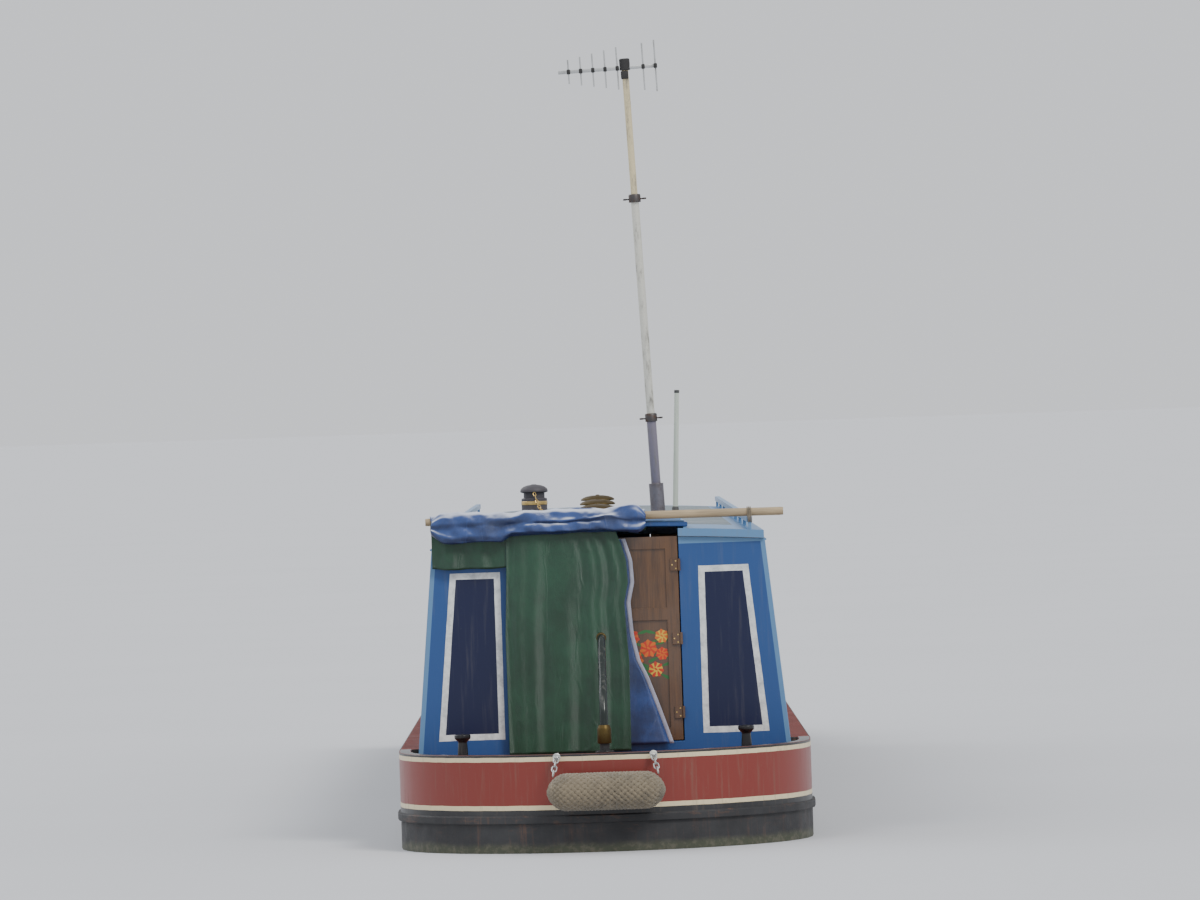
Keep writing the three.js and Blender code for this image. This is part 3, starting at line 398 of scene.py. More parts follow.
def enamel(name, colour, roughness=0.34, dirt=0.35):
    """Coach enamel laid on with a brush, dulled by the weather. The colour may be a function of the finish."""
    mat = Finish(name, Specular_IOR_Level=0.35, Coat_Weight=0.08, Coat_Roughness=0.2)
    if callable(colour):
        colour = colour(mat)
    faded = mat.noise(1.3, 5, 0.6)
    tint = mat.mix(mat.step(faded, 0.35, 0.75), colour, (0.62, 0.6, 0.56), "OVERLAY")
    specks = mat.step(mat.noise(70.0, 3, 0.6), 0.66, 0.74)
    film = (rain_streaks(mat) * dirt + specks * (dirt * 0.35)).clamped()
    worn = mat.node("MapRange", inputs={"Value": film + faded * 0.25, "To Min": roughness - 0.06,
                                        "To Max": roughness + 0.45})
    mat.set(Base_Color=mat.mix(film, mat.mix(0.3, colour, tint), (0.2, 0.19, 0.165)), Roughness=worn)
    brushed = mat.noise(160.0, 2, 0.5, mat.scaled(1.0, 1.0, 0.08))
    mat.bump(mat.noise(28.0, 2, 0.5) * 0.6 + brushed * 0.4, 0.0012, 0.35)
    return mat.material


def below_water(mat, level):
    """How far the paint is covered by scum, which thins out just above the water"""
    return (1.0 - mat.step(level, *(WATERLINE_Z + height for height in SCUM_HEIGHTS))) * 0.75


def blacking_material(colours):
    """Bituminous blacking: dull, with rust at the scuffed guards and a scum line at the water"""
    mat = Finish("hull_blacking")
    z = mat.axis("Z")
    patches = mat.noise(2.2, 8, 0.65)
    scuffs = mat.noise(9.0, 6, 0.7, mat.scaled(1.0, 0.12, 2.5))
    worn = mat.step(scuffs, 0.55, 0.66) * mat.step(z, 0.6, 0.95)
    streaks = rain_streaks(mat, 7.0) * mat.step(patches, 0.4, 0.7)
    rust = (worn * 0.65 + streaks * 0.4).clamped()
    base = mat.mix(mat.step(patches, 0.3, 0.8), colours.blacking, (0.035, 0.036, 0.038))
    coloured = mat.mix(rust, base, mat.mix(mat.noise(26.0, 6, 0.7), colours.rust, (0.3, 0.13, 0.055)))
    level = z + mat.noise(5.0, 5, 0.6) * 0.05
    scum = mat.mix(mat.step(mat.noise(30.0, 5, 0.7), 0.45, 0.65), (0.055, 0.062, 0.035), (0.11, 0.105, 0.07))
    mat.set(Base_Color=mat.mix(below_water(mat, level), coloured, scum),
            Roughness=0.42 + mat.noise(12.0, 5, 0.6) * 0.4)
    dents = mat.bump(mat.noise(1.1, 3, 0.5), 0.02, 0.35)
    mat.bump(mat.noise(90.0, 4, 0.6) + rust * 0.8, 0.0016, 0.55, dents)
    return mat.material


def counter_material(colours):
    """The counter: blacking, with a red band edged in cream above the guard, and a red deck within its rim"""
    mat = Finish("counter_paint")
    z = mat.axis("Z")
    black = mat.mix(mat.step(mat.noise(2.2, 8, 0.65), 0.3, 0.8), colours.blacking, (0.035, 0.036, 0.038))
    level = z + mat.noise(14.0, 3, 0.5) * 0.004
    up = mat.facing("True Normal")

    def band(low, high):
        return (level > low) * (level < high) * (up < 0.5)
    painted = mat.mix(band(*BAND_ZS), black, colours.cream)
    painted = mat.mix(band(*BAND_RED_ZS), painted, colours.band)
    on_deck = (up > 0.5) * (z < REAR_DECK_Z + 0.01)
    painted = mat.mix(on_deck, painted, colours.deck)
    film = (rain_streaks(mat, 7.0) * 0.35 + mat.step(mat.noise(26.0, 6, 0.7), 0.6, 0.75) * 0.25).clamped()
    dusty = mat.mix(film, painted, (0.16, 0.12, 0.085))
    mat.set(Base_Color=mat.mix(below_water(mat, level), dusty, (0.07, 0.072, 0.045)), Roughness=0.36 + film * 0.6)
    dents = mat.bump(mat.noise(1.6, 3, 0.5), 0.01, 0.3)
    mat.bump(mat.noise(420.0, 2, 0.5) * (0.15 + on_deck), 0.0016, 0.8, dents)
    return mat.material


def non_slip(name, colour, border=None, outside=None):
    """Sanded deck paint. A border plane list marks where the sand stops and the plain edge begins."""
    mat = Finish(name)
    worn = mat.noise(3.0, 7, 0.65)
    base = mat.mix(mat.step(worn, 0.35, 0.75), colour, shaded(1.35, colour, 0.02))
    dirt = mat.step(mat.noise(7.0, 8, 0.7), 0.5, 0.72)
    base = mat.mix(dirt * 0.5, base, (0.075, 0.07, 0.055))
    sanded = 1.0 - mat.step(worn, 0.55, 0.8) * 0.5
    if border:
        sanded = mat.largest([mat.plane(mirrored_place(mat), *p) for p in border]) < 0.0
        base = mat.mix(sanded, mat.mix(dirt * 0.3, outside, (0.16, 0.15, 0.13)), base)
    mat.set(Base_Color=base, Roughness=0.42 + sanded * 0.35)
    mat.bump(mat.cells(260.0) * sanded + worn * 0.6, 0.0022, 0.6)
    return mat.material


def panelled(name, colours, panels, line, edges=()):
    """Blue enamel with navy panels, each a list of planes, outlined by a white line.

    The paint beyond any of the edge planes is light blue.
    """
    soft = 0.0008

    def painted(mat):
        place = mirrored_place(mat)
        wobble = (mat.noise(11.0, 2, 0.5) - 0.5) * 0.003
        inside, lined = [], []
        for planes in panels:
            signed = mat.largest([mat.plane(place, *p) for p in planes]) + wobble
            inside.append(1.0 - mat.step(signed, -soft, soft))
            lined.append(1.0 - mat.step(abs(signed + line / 2) - line / 2, -soft, soft))
        frame_paint = colours.cabin
        if edges:
            beyond = mat.largest([mat.plane(place, *p) for p in edges])
            frame_paint = mat.mix(mat.step(beyond, -soft, soft), colours.cabin, colours.edge)
        chalky = mat.mix(mat.step(mat.noise(18.0, 6, 0.7), 0.35, 0.75), colours.line, (0.4, 0.43, 0.45))
        return mat.mix(mat.largest(lined), mat.mix(mat.largest(inside), frame_paint, colours.panel), chalky)
    return enamel(name, painted, 0.34, 0.13)


def metal(name, colour, roughness=0.35, tarnish=(0.1, 0.075, 0.035), amount=0.5, scale=14.0):
    """Bare metal with tarnish in patches and fine scratches"""
    mat = Finish(name, metallic=1.0)
    patches = mat.step(mat.noise(scale, 7, 0.7), 0.42, 0.72)
    stain = patches * amount
    scratches = mat.noise(240.0, 3, 0.6, mat.scaled(1.0, 0.15, 1.0))
    mat.set(Base_Color=mat.mix(stain, colour, tarnish),
            Roughness=roughness - 0.08 + (stain * 0.5 + scratches * 0.16))
    mat.bump(scratches + patches, 0.0004, 0.3)
    return mat.material


def galvanised_material():
    """Hot-dip zinc: spangled grey with white bloom"""
    mat = Finish("galvanised_steel", metallic=0.85)
    spangle = mat.axis("X", mat.cells(90.0, "Color"))
    bloom = mat.step(mat.noise(16.0, 6, 0.65, mat.scaled(1.0, 1.0, 0.25)), 0.48, 0.7)
    grey = mat.mix(spangle, (0.4, 0.41, 0.41), (0.56, 0.57, 0.56))
    mat.set(Base_Color=mat.mix(bloom, grey, (0.62, 0.62, 0.57)), Roughness=0.36 + bloom * 0.35)
    mat.bump(mat.noise(120.0, 4, 0.6), 0.0006, 0.4)
    return mat.material


def timber(name, colour, dark, direction, scale=9.0, roughness=0.65, gloss=0.0, cracks=0.4):
    """Sawn or planed wood whose grain runs along an axis"""
    mat = Finish(name, Coat_Weight=gloss, Coat_Roughness=0.15)
    place = mat.scaled(*[0.05 if axis == direction else 1.0 for axis in "XYZ"])
    fine = mat.noise(scale * 36, 3, 0.6, place)
    figure = mat.noise(scale * 4, 6, 0.65, place, 0.6) * 0.7 + fine * 0.3
    base = mat.mix(mat.step(figure, 0.36, 0.66), dark, colour)
    weather = mat.step(mat.noise(scale * 0.5, 5, 0.6), 0.4, 0.8)
    mat.set(Base_Color=mat.mix(weather * 0.5, base, shaded(0.6, colour, 0.05)),
            Roughness=roughness - 0.1 + fine * 0.25)
    mat.bump(figure, 0.0014, cracks)
    return mat.material


def woven_sheet(name, colour, shade, top_highlight=0.0):
    """Woven plastic sheeting: a fine square weave, a sheen, faces that point down darkened as painted shade, and
    faces that point up lightened as a painted highlight
    """
    mat = Finish(name, Coat_Weight=0.25, Coat_Roughness=0.18)
    place = mat.scaled(1.0, 0.35, 1.0)
    cloudy = mat.noise(5.0, 6, 0.65)
    ridge = mat.noise(4.2, 3, 0.5, mat.scaled(1.5, 1.0, 0.4), 0.5)
    crease = 1.0 - mat.step(abs(ridge - 0.5), 0.0, 0.035)
    up = mat.facing("Normal")
    # Darker in random cloudy patches, and darker on faces that point down, which is painted shade
    tint = mat.mix(mat.step(cloudy + up * 0.35, 0.3, 0.75), shaded(shade, colour), colour)
    marked = mat.mix(crease * (cloudy * 0.14), tint, shaded(1.6, colour, 0.02))
    # Painted highlight: faces that point up are mixed toward a pale blue-white
    marked = mat.mix(mat.step(up + cloudy * 0.22, 0.5, 0.98) * top_highlight, marked, (0.62, 0.66, 0.75))
    dirt = mat.step(mat.noise(2.4, 7, 0.7, mat.scaled(2.0, 1.0, 0.6)), 0.55, 0.8)
    mat.set(Base_Color=mat.mix(dirt * 0.14, marked, (0.1, 0.1, 0.075)), Roughness=0.24 + cloudy * 0.22)
    crumple = mat.noise(20.0, 5, 0.6, mat.scaled(1.0, 1.0, 0.5), 0.8)
    folds = mat.bump(crumple + crease * 0.35, 0.005, 0.45)
    mat.bump(mat.wave(330.0, "X", place=place) * mat.wave(330.0, "Z", place=place), 0.0005, 0.6, folds)
    return mat.material


def rope_material(colours, name="fender_rope"):
    """Laid rope, with a hairy twist and grime in patches"""
    mat = Finish(name, 0.92, Sheen_Weight=0.25, Sheen_Roughness=0.5)
    fibres = mat.noise(260.0, 4, 0.65)
    dirt = mat.step(mat.noise(10.0, 6, 0.65), 0.4, 0.7)
    base = mat.mix(fibres * 0.9, shaded(0.45, colours.rope), colours.rope)
    mat.set(Base_Color=mat.mix(dirt * 0.55, base, (0.055, 0.05, 0.04)))
    mat.bump(mat.wave(85.0, "DIAGONAL", 1.5) + fibres * 0.6, 0.002, 0.7)
    return mat.material


def plain(name, roughness, noise, low, high, distance, strength, bump_noise=None, **sockets):
    """A mottled finish between two colours, as rough cast or moulded things have"""
    mat = Finish(name, roughness, **sockets)
    mottled = mat.noise(*noise)
    mat.set(Base_Color=mat.mix(mottled, low, high))
    mat.bump(mat.noise(*bump_noise) if bump_noise else mottled, distance, strength)
    return mat.material


def glass_material():
    mat = Finish("window_glass", Alpha=0.42, IOR=1.6)
    smears = mat.noise(9.0, 6, 0.7, mat.scaled(1.0, 1.0, 0.4))
    mat.set(Base_Color=mat.mix(mat.step(smears, 0.45, 0.8), (0.02, 0.028, 0.032), (0.07, 0.08, 0.08)),
            Roughness=mat.step(smears, 0.5, 0.85) * 0.18)
    return mat.material


def rubber_material():
    return plain("black_rubber", 0.75, (40.0, 5, 0.6), (0.012, 0.012, 0.013), (0.035, 0.034, 0.033),
                 0.0006, 0.5, (160.0, 3, 0.6))


def lining_material():
    """Pale veneered boards inside the cabin"""
    mat = Finish("cabin_lining", 0.5)
    grain = mat.noise(60.0, 5, 0.6, mat.scaled(1.0, 0.06, 1.0))
    groove = 1.0 - mat.step(mat.wave(1.6, "Z"), 0.0, 0.05)
    base = mat.mix(grain, (0.42, 0.29, 0.15), (0.56, 0.41, 0.24))
    mat.set(Base_Color=mat.mix(groove, base, (0.16, 0.1, 0.05)))
    mat.bump(grain * 0.2 - groove, 0.002, 0.6)
    return mat.material


def curtain_material():
    """Cotton with a small printed check"""
    mat = Finish("curtain_cotton", 0.9, Sheen_Weight=0.2, Sheen_Roughness=0.5)
    check = mat.step(mat.wave(9.0, "Y") * mat.wave(9.0, "Z"), 0.35, 0.45)
    mat.set(Base_Color=mat.mix(check, (0.5, 0.46, 0.38), (0.3, 0.09, 0.07)))
    mat.bump(mat.noise(420.0, 2, 0.5), 0.0006, 0.6)
    return mat.material


def mast_material():
    """Three telescoping tubes: a dull lower one, a pale middle one and a yellowed top one"""
    mat = Finish("mast_tubes", metallic=0.35)
    z = mat.axis("Z")
    fine = mat.noise(30.0, 6, 0.65, mat.scaled(1.0, 1.0, 0.3))
    tube = mat.mix(z < MAST_FOOT.z + MAST_COLLARS[0], (0.62, 0.61, 0.54), (0.2, 0.18, 0.225))
    tube = mat.mix(z > MAST_FOOT.z + MAST_COLLARS[1], tube, (0.66, 0.57, 0.36))
    mat.set(Base_Color=mat.mix(mat.step(fine, 0.48, 0.75), tube, (0.18, 0.17, 0.15)), Roughness=0.3 + fine * 0.35)
    mat.bump(fine, 0.0006, 0.4)
    return mat.material


def pole_material(colours):
    """Bare barked timber, weathered pale, with knots and drying cracks"""
    mat = Finish("pole_timber")
    grain = mat.noise(60.0, 6, 0.65, mat.scaled(0.06, 1.0, 1.0), 0.8)
    cracks = mat.step(mat.noise(34.0, 4, 0.6, mat.scaled(0.035, 1.0, 1.0)), 0.6, 0.66)
    knots = 1.0 - mat.step(mat.cells(4.2), 0.05, 0.13)
    base = mat.mix(mat.step(grain, 0.3, 0.7), shaded(0.62, colours.pole), colours.pole)
    base = mat.mix(cracks * 0.8, base, (0.1, 0.075, 0.045))
    mat.set(Base_Color=mat.mix(knots * 0.8, base, (0.13, 0.08, 0.04)), Roughness=0.62 + grain * 0.25)
    mat.bump(grain - cracks, 0.0018, 0.8)
    return mat.material


# Meshes

def circle(radius, count, start=0.0):
    """Places at equal steps round a circle"""
    angles = [start + 2 * math.pi * i / count for i in range(count)]
    return [(radius * math.cos(a), radius * math.sin(a)) for a in angles]


def shares(count):
    """From 0 to 1 in equal steps"""
    return [i / count for i in range(count + 1)]


def bumpy(x, y, z):
    """Smooth noise at a place, about -1 to 1, the same on each run"""
    return noise.noise(Vector((x, y, z)))


def clipped(value, low=0.0, high=1.0):
    return min(high, max(low, value))


def turn_to(axis):
    """The turn that takes the z axis to another"""
    return Vector((0, 0, 1)).rotation_difference(Vector(axis)).to_matrix().to_4x4()


def linked(name, data):
    """A new object in the scene"""
    made = bpy.data.objects.new(name, data)
    bpy.context.scene.collection.objects.link(made)
    return made


def mesh_of(name, bm, materials):
    mesh = bpy.data.meshes.new(name)
    bm.to_mesh(mesh)
    bm.free()
    for material in materials:
        mesh.materials.append(material)
    return mesh


def finished(name, bm, body, slot, *materials, smooth=35.0, instead=None):
    """Turns a bmesh into a piece that rides on a body, and may take the place of a frame node"""
    bmesh.ops.recalc_face_normals(bm, faces=bm.faces)
    mesh = mesh_of(name, bm, materials)
    mesh.shade_smooth()
    mesh.set_sharp_from_angle(angle=math.radians(smooth))
    piece = linked(name, mesh)
    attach(piece, body)
    if instead:
        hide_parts(instead)
    return piece


def apply_modifier(piece, kind, **settings):
    modifier = piece.modifiers.new(kind.lower(), kind)
    for key, value in settings.items():
        setattr(modifier, key, value)
    with bpy.context.temp_override(object=piece, active_object=piece):
        bpy.ops.object.modifier_apply(modifier=modifier.name)


def softened(node, slot, *materials, name=None, width=0.004, segments=2, paint=None, limit=28.0):
    """A copy of a frame node with rounded edges, which takes the node's place.

    paint is a function from a face's centre and normal to the index of its material.
    """
    bm = bmesh.new()
    bm.from_mesh(NODES[node].data)
    bmesh.ops.remove_doubles(bm, verts=bm.verts, dist=1e-5)
    bmesh.ops.dissolve_limit(bm, angle_limit=math.radians(0.5), verts=bm.verts, edges=bm.edges)
    if width:
        sharp = [e for e in bm.edges if e.is_manifold and e.calc_face_angle(0) > math.radians(limit)]
        bmesh.ops.bevel(bm, geom=sharp, offset=width, segments=segments, profile=0.5, affect="EDGES",
                        clamp_overlap=True)
    if paint:
        for face in bm.faces:
            face.material_index = paint(face.calc_center_median(), face.normal)
    piece = finished(name or node + "_finished", bm, NODES[node]["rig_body"], slot, *materials, smooth=40.0)
    apply_modifier(piece, "WEIGHTED_NORMAL", keep_sharp=True)
    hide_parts(node)
    return piece


def add_box(bm, middle, half, bevel, segments=2, turn=None):
    """A box with rounded edges, from its middle and half its size"""
    matrix = Matrix.Translation(middle) @ (turn or Matrix()) @ Matrix.Diagonal((*half, 1.0))
    verts = bmesh.ops.create_cube(bm, size=2.0, matrix=matrix)["verts"]
    edges = {e for v in verts for e in v.link_edges}
    bmesh.ops.bevel(bm, geom=list(edges), offset=bevel, segments=segments, profile=0.5, affect="EDGES",
                    clamp_overlap=True)


def grid_faces(bm, rings, closed_across=True, closed_along=False, index=0):
    """Joins rings of vertices, all of one length, by quads"""
    count = len(rings[0])
    last = len(rings) if closed_along else len(rings) - 1
    for i in range(last):
        a, b = rings[i], rings[(i + 1) % len(rings)]
        for j in range(count if closed_across else count - 1):
            k = (j + 1) % count
            corners = [a[j], a[k], b[k], b[j]]
            if len(set(corners)) > 2:
                bm.faces.new(list(dict.fromkeys(corners))).material_index = index


def close_ends(bm, rings, index=0):
    for ring in (rings[0], rings[-1]):
        bm.faces.new(ring).material_index = index


def add_lathe(bm, profile, place, axis=(0, 0, 1), sides=32, index=0):
    """Turns a profile of (radius, height) points round an axis. A point at radius 0 closes an end."""
    matrix = Matrix.Translation(place) @ turn_to(axis)
    rings = []
    for radius, height in profile:
        if radius < 1e-6:
            rings.append([bm.verts.new(matrix @ Vector((0, 0, height)))] * sides)
        else:
            rings.append([bm.verts.new(matrix @ Vector((x, y, height))) for x, y in circle(radius, sides)])
    grid_faces(bm, rings, index=index)


def path_frames(points, closed=False):
    """Each point with two directions square to the path, carried along it without twisting"""
    points = [Vector(p) for p in points]
    count = len(points)
    frames = []
    across = None
    for i, point in enumerate(points):
        ahead = points[(i + 1) % count] if closed or i < count - 1 else point
        behind = points[i - 1] if closed or i > 0 else point
        tangent = (ahead - behind).normalized()
        if across is None:
            helper = Vector((0, 0, 1)) if abs(tangent.z) < 0.9 else Vector((1, 0, 0))
            across = tangent.cross(helper).normalized()
        across = (across - tangent * across.dot(tangent)).normalized()
        frames.append((point, across, tangent.cross(across)))
    return frames


def add_tube(bm, points, radius, sides=10, closed=False, ends=True):
    """A tube along points. The radius is a number or a function of the share along the path."""
    frames = path_frames(points, closed)
    rings = []
    for i, (point, across, other) in enumerate(frames):
        r = radius(i / (len(frames) - 1)) if callable(radius) else radius
        rings.append([bm.verts.new(point + across * x + other * y) for x, y in circle(r, sides)])
    grid_faces(bm, rings, closed_along=closed)
    if ends and not closed:
        close_ends(bm, rings)


def curve_through(points, steps=8):
    """A smooth line through points"""
    points = [Vector(p) for p in points]
    padded = [2 * points[0] - points[1], *points, 2 * points[-1] - points[-2]]
    line = []
    for i in range(1, len(padded) - 2):
        a, b, c, d = padded[i - 1:i + 3]
        for s in range(steps):
            t = s / steps
            line.append(0.5 * (2 * b + (c - a) * t + (2 * a - 5 * b + 4 * c - d) * t ** 2
                               + (3 * b - a - 3 * c + d) * t ** 3))
    line.append(points[-1])
    return line


def add_link(bm, middle, along, across, length, width, wire):
    """One chain link, a ring with straight sides"""
    along, across = along.normalized(), across.normalized()
    straight = (length - width) / 2
    points = [middle + along * (math.copysign(straight, u) + u) + across * v for u, v in circle(width / 2, 20)]
    add_tube(bm, points, wire, 6, closed=True)


def add_chain(bm, start, end, sag, link, width, wire):
    """Links from start to end, hanging by a sag in the middle"""
    count = max(2, round((end - start).length / (link * 0.74)))
    places = [start.lerp(end, t) - Vector((0, 0, 4 * sag * t * (1 - t))) for t in shares(count)]
    for i, (a, b) in enumerate(zip(places, places[1:])):
        along = b - a
        helper = Vector((1, 0, 0)) if abs(along.normalized().x) < 0.8 else Vector((0, 1, 0))
        across = along.cross(helper) if i % 2 else along.cross(along.cross(helper))
        add_link(bm, (a + b) / 2, along, across, link, width, wire)


# Stage

class NARROWBOAT_OT_stage(Builder, bpy.types.Operator):
    """Lays the floor at the waterline and sets the camera and lights"""
    bl_idname = "narrowboat.stage"
    bl_label = "Stage"

    def execute(self, context):
        self.floor()
        self.lights(context.scene)
        self.camera(context.scene)
        return {"FINISHED"}

    def floor(self):
        """A pale plane with an opening the shape of the hull, so that none of it lies inside the boat"""
        mat = Finish("pale_floor", 0.9, Specular_IOR_Level=0.1)
        mat.set(Base_Color=mat.mix(mat.noise(0.35, 4, 0.5), (0.545, 0.555, 0.579), (0.579, 0.589, 0.612)))
        skin = skin_of("hull_side_left", "bow_side_left", "counter")
        stations = [STEM + OPENING_START + OPENING_STEP * i for i in range(OPENING_STEPS + 1)]
        outline = [(skin(1, y, WATERLINE_Z + 0.005) - OPENING_INSET, y) for y in stations]
        bm = bmesh.new()

        def place(x, y):
            return bm.verts.new((x, y, WATERLINE_Z))
        middle = {end: place(0, end * FLOOR_NEAR[1]) for end in (-1, 1)}
        bow, stern = place(0, stations[0]), place(0, STERN - 0.015)
        near, far = [{(side, end): place(side * x, end * y) for side in (-1, 1) for end in (-1, 1)}
                     for x, y in (FLOOR_NEAR, FLOOR_FAR)]
        for side in (-1, 1):
            line = [place(side * x, y) for x, y in outline]
            bm.faces.new([middle[-1], bow, *line, stern, middle[1], near[side, 1], near[side, -1]])
            bm.faces.new([near[side, -1], near[side, 1], far[side, 1], far[side, -1]])
            bm.faces.new([near[-1, side], middle[side], near[1, side], far[1, side], far[-1, side]])
        bm.normal_update()
        for face in bm.faces:
            if face.normal.z < 0:
                face.normal_flip()
        floor = linked("floor", mesh_of("floor", bm, [mat.material]))
        floor.hide_render = not self.sizes.show_floor

    def lights(self, scene):
        scene.world = bpy.data.worlds.new("studio")
        scene.world.use_nodes = True
        background = scene.world.node_tree.nodes["Background"]
        background.inputs["Color"].default_value = (0.86, 0.88, 0.92, 1.0)
        background.inputs["Strength"].default_value = 1.0
        for name, towards, strength, angle, colour in (
                ("key", (-0.55, 0.75, 0.95), 1.9, 18.0, (1.0, 0.98, 0.95)),
                ("fill", (0.85, -0.7, 0.75), 1.0, 40.0, (0.95, 0.97, 1.0)),
                ("rim", (0.8, 0.6, 1.2), 0.5, 30.0, (1.0, 1.0, 1.0))):
            lamp = bpy.data.lights.new(name, "SUN")
            lamp.energy = strength
            lamp.angle = math.radians(angle)
            lamp.color = colour
            linked(name, lamp).rotation_euler = Vector(towards).to_track_quat("Z", "Y").to_euler()

    def camera(self, scene):
        data = bpy.data.cameras.new("camera")
        data.lens = self.sizes.camera_lens
        data.sensor_width = 36.0
        data.clip_end = 6000.0
        scene.camera = linked("camera", data)
        eye = Vector((AIM_X, CABIN_REAR + self.sizes.camera_distance, WATERLINE_Z + self.sizes.camera_height))
        turn = (Vector((AIM_X, CABIN_REAR, AIM_Z)) - eye).to_track_quat("-Z", "Y").to_matrix().to_4x4()
        roll = Matrix.Rotation(math.radians(CAMERA_ROLL), 4, "Z")
        scene.camera.matrix_world = Matrix.Translation(eye) @ turn @ roll


# Hull

class NARROWBOAT_OT_hull(Builder, bpy.types.Operator):
    """Finishes the plates of the hull in blacking, and adds its guards, anodes and sternwork"""
    bl_idname = "narrowboat.hull"
    bl_label = "Hull"

    def execute(self, context):
        colours = self.colours
        blacking = blacking_material(colours)
        deck = non_slip("side_deck_paint", colours.deck)
        gloss = enamel("black_gloss", (0.01, 0.01, 0.012), 0.28, 0.25)

        def on_top(centre, normal):
            return int(normal.z > 0.7 and centre.z > GUNWALE_Z - 0.02)
        for side in SIDES:
            softened(f"hull_side_{side}", "hull_black", blacking, deck, width=0.006, paint=on_top)
            softened(f"bow_side_{side}", "hull_black", blacking, width=0.005, limit=40.0)
            softened(f"swim_{side}", "hull_black", blacking, width=0.0)
        for node, width, segments in (("stem_bar", 0.008, 3), ("stern_post", 0.003, 2), ("skeg", 0.004, 2),
                                      ("base_plate", 0.002, 1), ("uxter_plate", 0.002, 1)):
            softened(node, "hull_black", blacking, width=width, segments=segments)
        self.counter(blacking, deck, gloss)
        self.guards(blacking)
        self.anodes()
        return {"FINISHED"}

    def counter(self, blacking, deck, gloss):
        def paint(centre, normal):
            from_middle = math.hypot(centre.x, max(0.0, centre.y - COUNTER_SHOULDER_Y) * COUNTER_ROUND)
            if centre.z > REAR_DECK_Z + 0.003 and from_middle < BEAM_HALF - 0.08:
                return 3
            if centre.z > REAR_DECK_Z - 0.01 and normal.z > 0.5:
                return 2
            return int(centre.z > STRAKE_TOP_Z)
        softened("counter", "hull_black", blacking, counter_material(self.colours), deck, gloss, width=0.004,
                 paint=paint)

    def guards(self, blacking):
        """D-shaped steel guards at the gunwale, a second pair at the bow, and a third over the bow's strake"""
        strake = (STRAKE_TOP_Z + STRAKE_FOOT_Z) / 2
        # Height at a place, how far the strake's edges are from it, first and last place, steps, reach and height
        runs = [(lambda y: sheer(y) - GUARD_DROP, 0.0, STEM + 0.025, CABIN_REAR - 0.06, 110, 0.013, 0.034),
                (lambda y: sheer(y) - 0.24, 0.0, STEM + 0.057, CABIN_FRONT - 0.9, 70, 0.013, 0.034),
                (lambda y: strake, 0.032, STEM + 0.107, BOW_SHOULDER_Y - 0.5, 70, 0.019, 0.049)]
        bm = bmesh.new()
        for side, sign in SIDES.items():
            skin = skin_of(f"bow_side_{side}", f"hull_side_{side}")
            for height_at, clear, y0, y1, count, proud, height in runs:
                points = []
                for share in shares(count):
                    y = y0 + (y1 - y0) * share ** 1.8
                    z = height_at(y)
                    faces = [skin(sign, y, z - clear), skin(sign, y, z + clear)]
                    if None not in faces:
                        points.append(Vector((sum(faces) / 2 - sign * 0.002, y, z)))
                add_guard(bm, points, sign, proud, height)
        finished("guards", bm, "hull", "hull_black", blacking)

    def anodes(self):
        """Zinc blocks on straps, under water on the swim and the bow"""
        bm = bmesh.new()
        for side, sign in SIDES.items():
            for node, y in ANODES:
                skin = skin_of(f"{node}_{side}")
                x, ahead = skin(sign, y, ANODE_Z), skin(sign, y + 0.15, ANODE_Z)
                if x is None or ahead is None:
                    raise RuntimeError(f"no plate for the anode at y = {y}")
                turn = Matrix.Rotation(math.atan2(x - ahead, 0.15), 4, "Z")
                add_box(bm, (x + sign * 0.017, y, ANODE_Z), (0.014, 0.14, 0.045), 0.01, 2, turn)
                add_box(bm, (x + sign * 0.004, y, ANODE_Z), (0.003, 0.2, 0.016), 0.001, 1, turn)
        finished("anodes", bm, "hull", "galvanised", galvanised_material())


def skin_of(*nodes):
    """A function that finds the outside of the plates: it looks in from the side at a place and height"""
    bm = bmesh.new()
    for node in nodes:
        bm.from_mesh(NODES[node].data)
    tree = BVHTree.FromBMesh(bm)
    bm.free()

    def look(side, y, z):
        hit = tree.ray_cast(Vector((side * 3.0, y, z)), Vector((-side, 0, 0)), 3.5)[0]
        return hit.x if hit else None
    return look


def sheer(y):
    """Height of the gunwale, which rises over the bow"""
    share = clipped((BOW_SHOULDER_Y - y) / (BOW_SHOULDER_Y - STEM_PLATE_Y))
    return GUNWALE_Z + (STEM_PLATE_TOP_Z - GUNWALE_Z) * share ** 2


def add_guard(bm, points, side, proud, height):
    """A D-shaped bar along the plates"""
    section = [(0.0, -0.5), (0.6, -0.42), (1.0, -0.2), (1.0, 0.2), (0.6, 0.42), (0.0, 0.5)]
    rings = []
    for i, point in enumerate(points):
        ahead = points[min(i + 1, len(points) - 1)] - points[max(i - 1, 0)]
        out = Vector((side * abs(ahead.y), -side * ahead.x * (1 if ahead.y > 0 else -1), 0)).normalized()
        reach = proud if i not in (0, len(points) - 1) else proud * 0.4
        rings.append([bm.verts.new(point + out * a * reach + Vector((0, 0, b * height))) for a, b in section])
    grid_faces(bm, rings)
    close_ends(bm, rings)


# Cabin

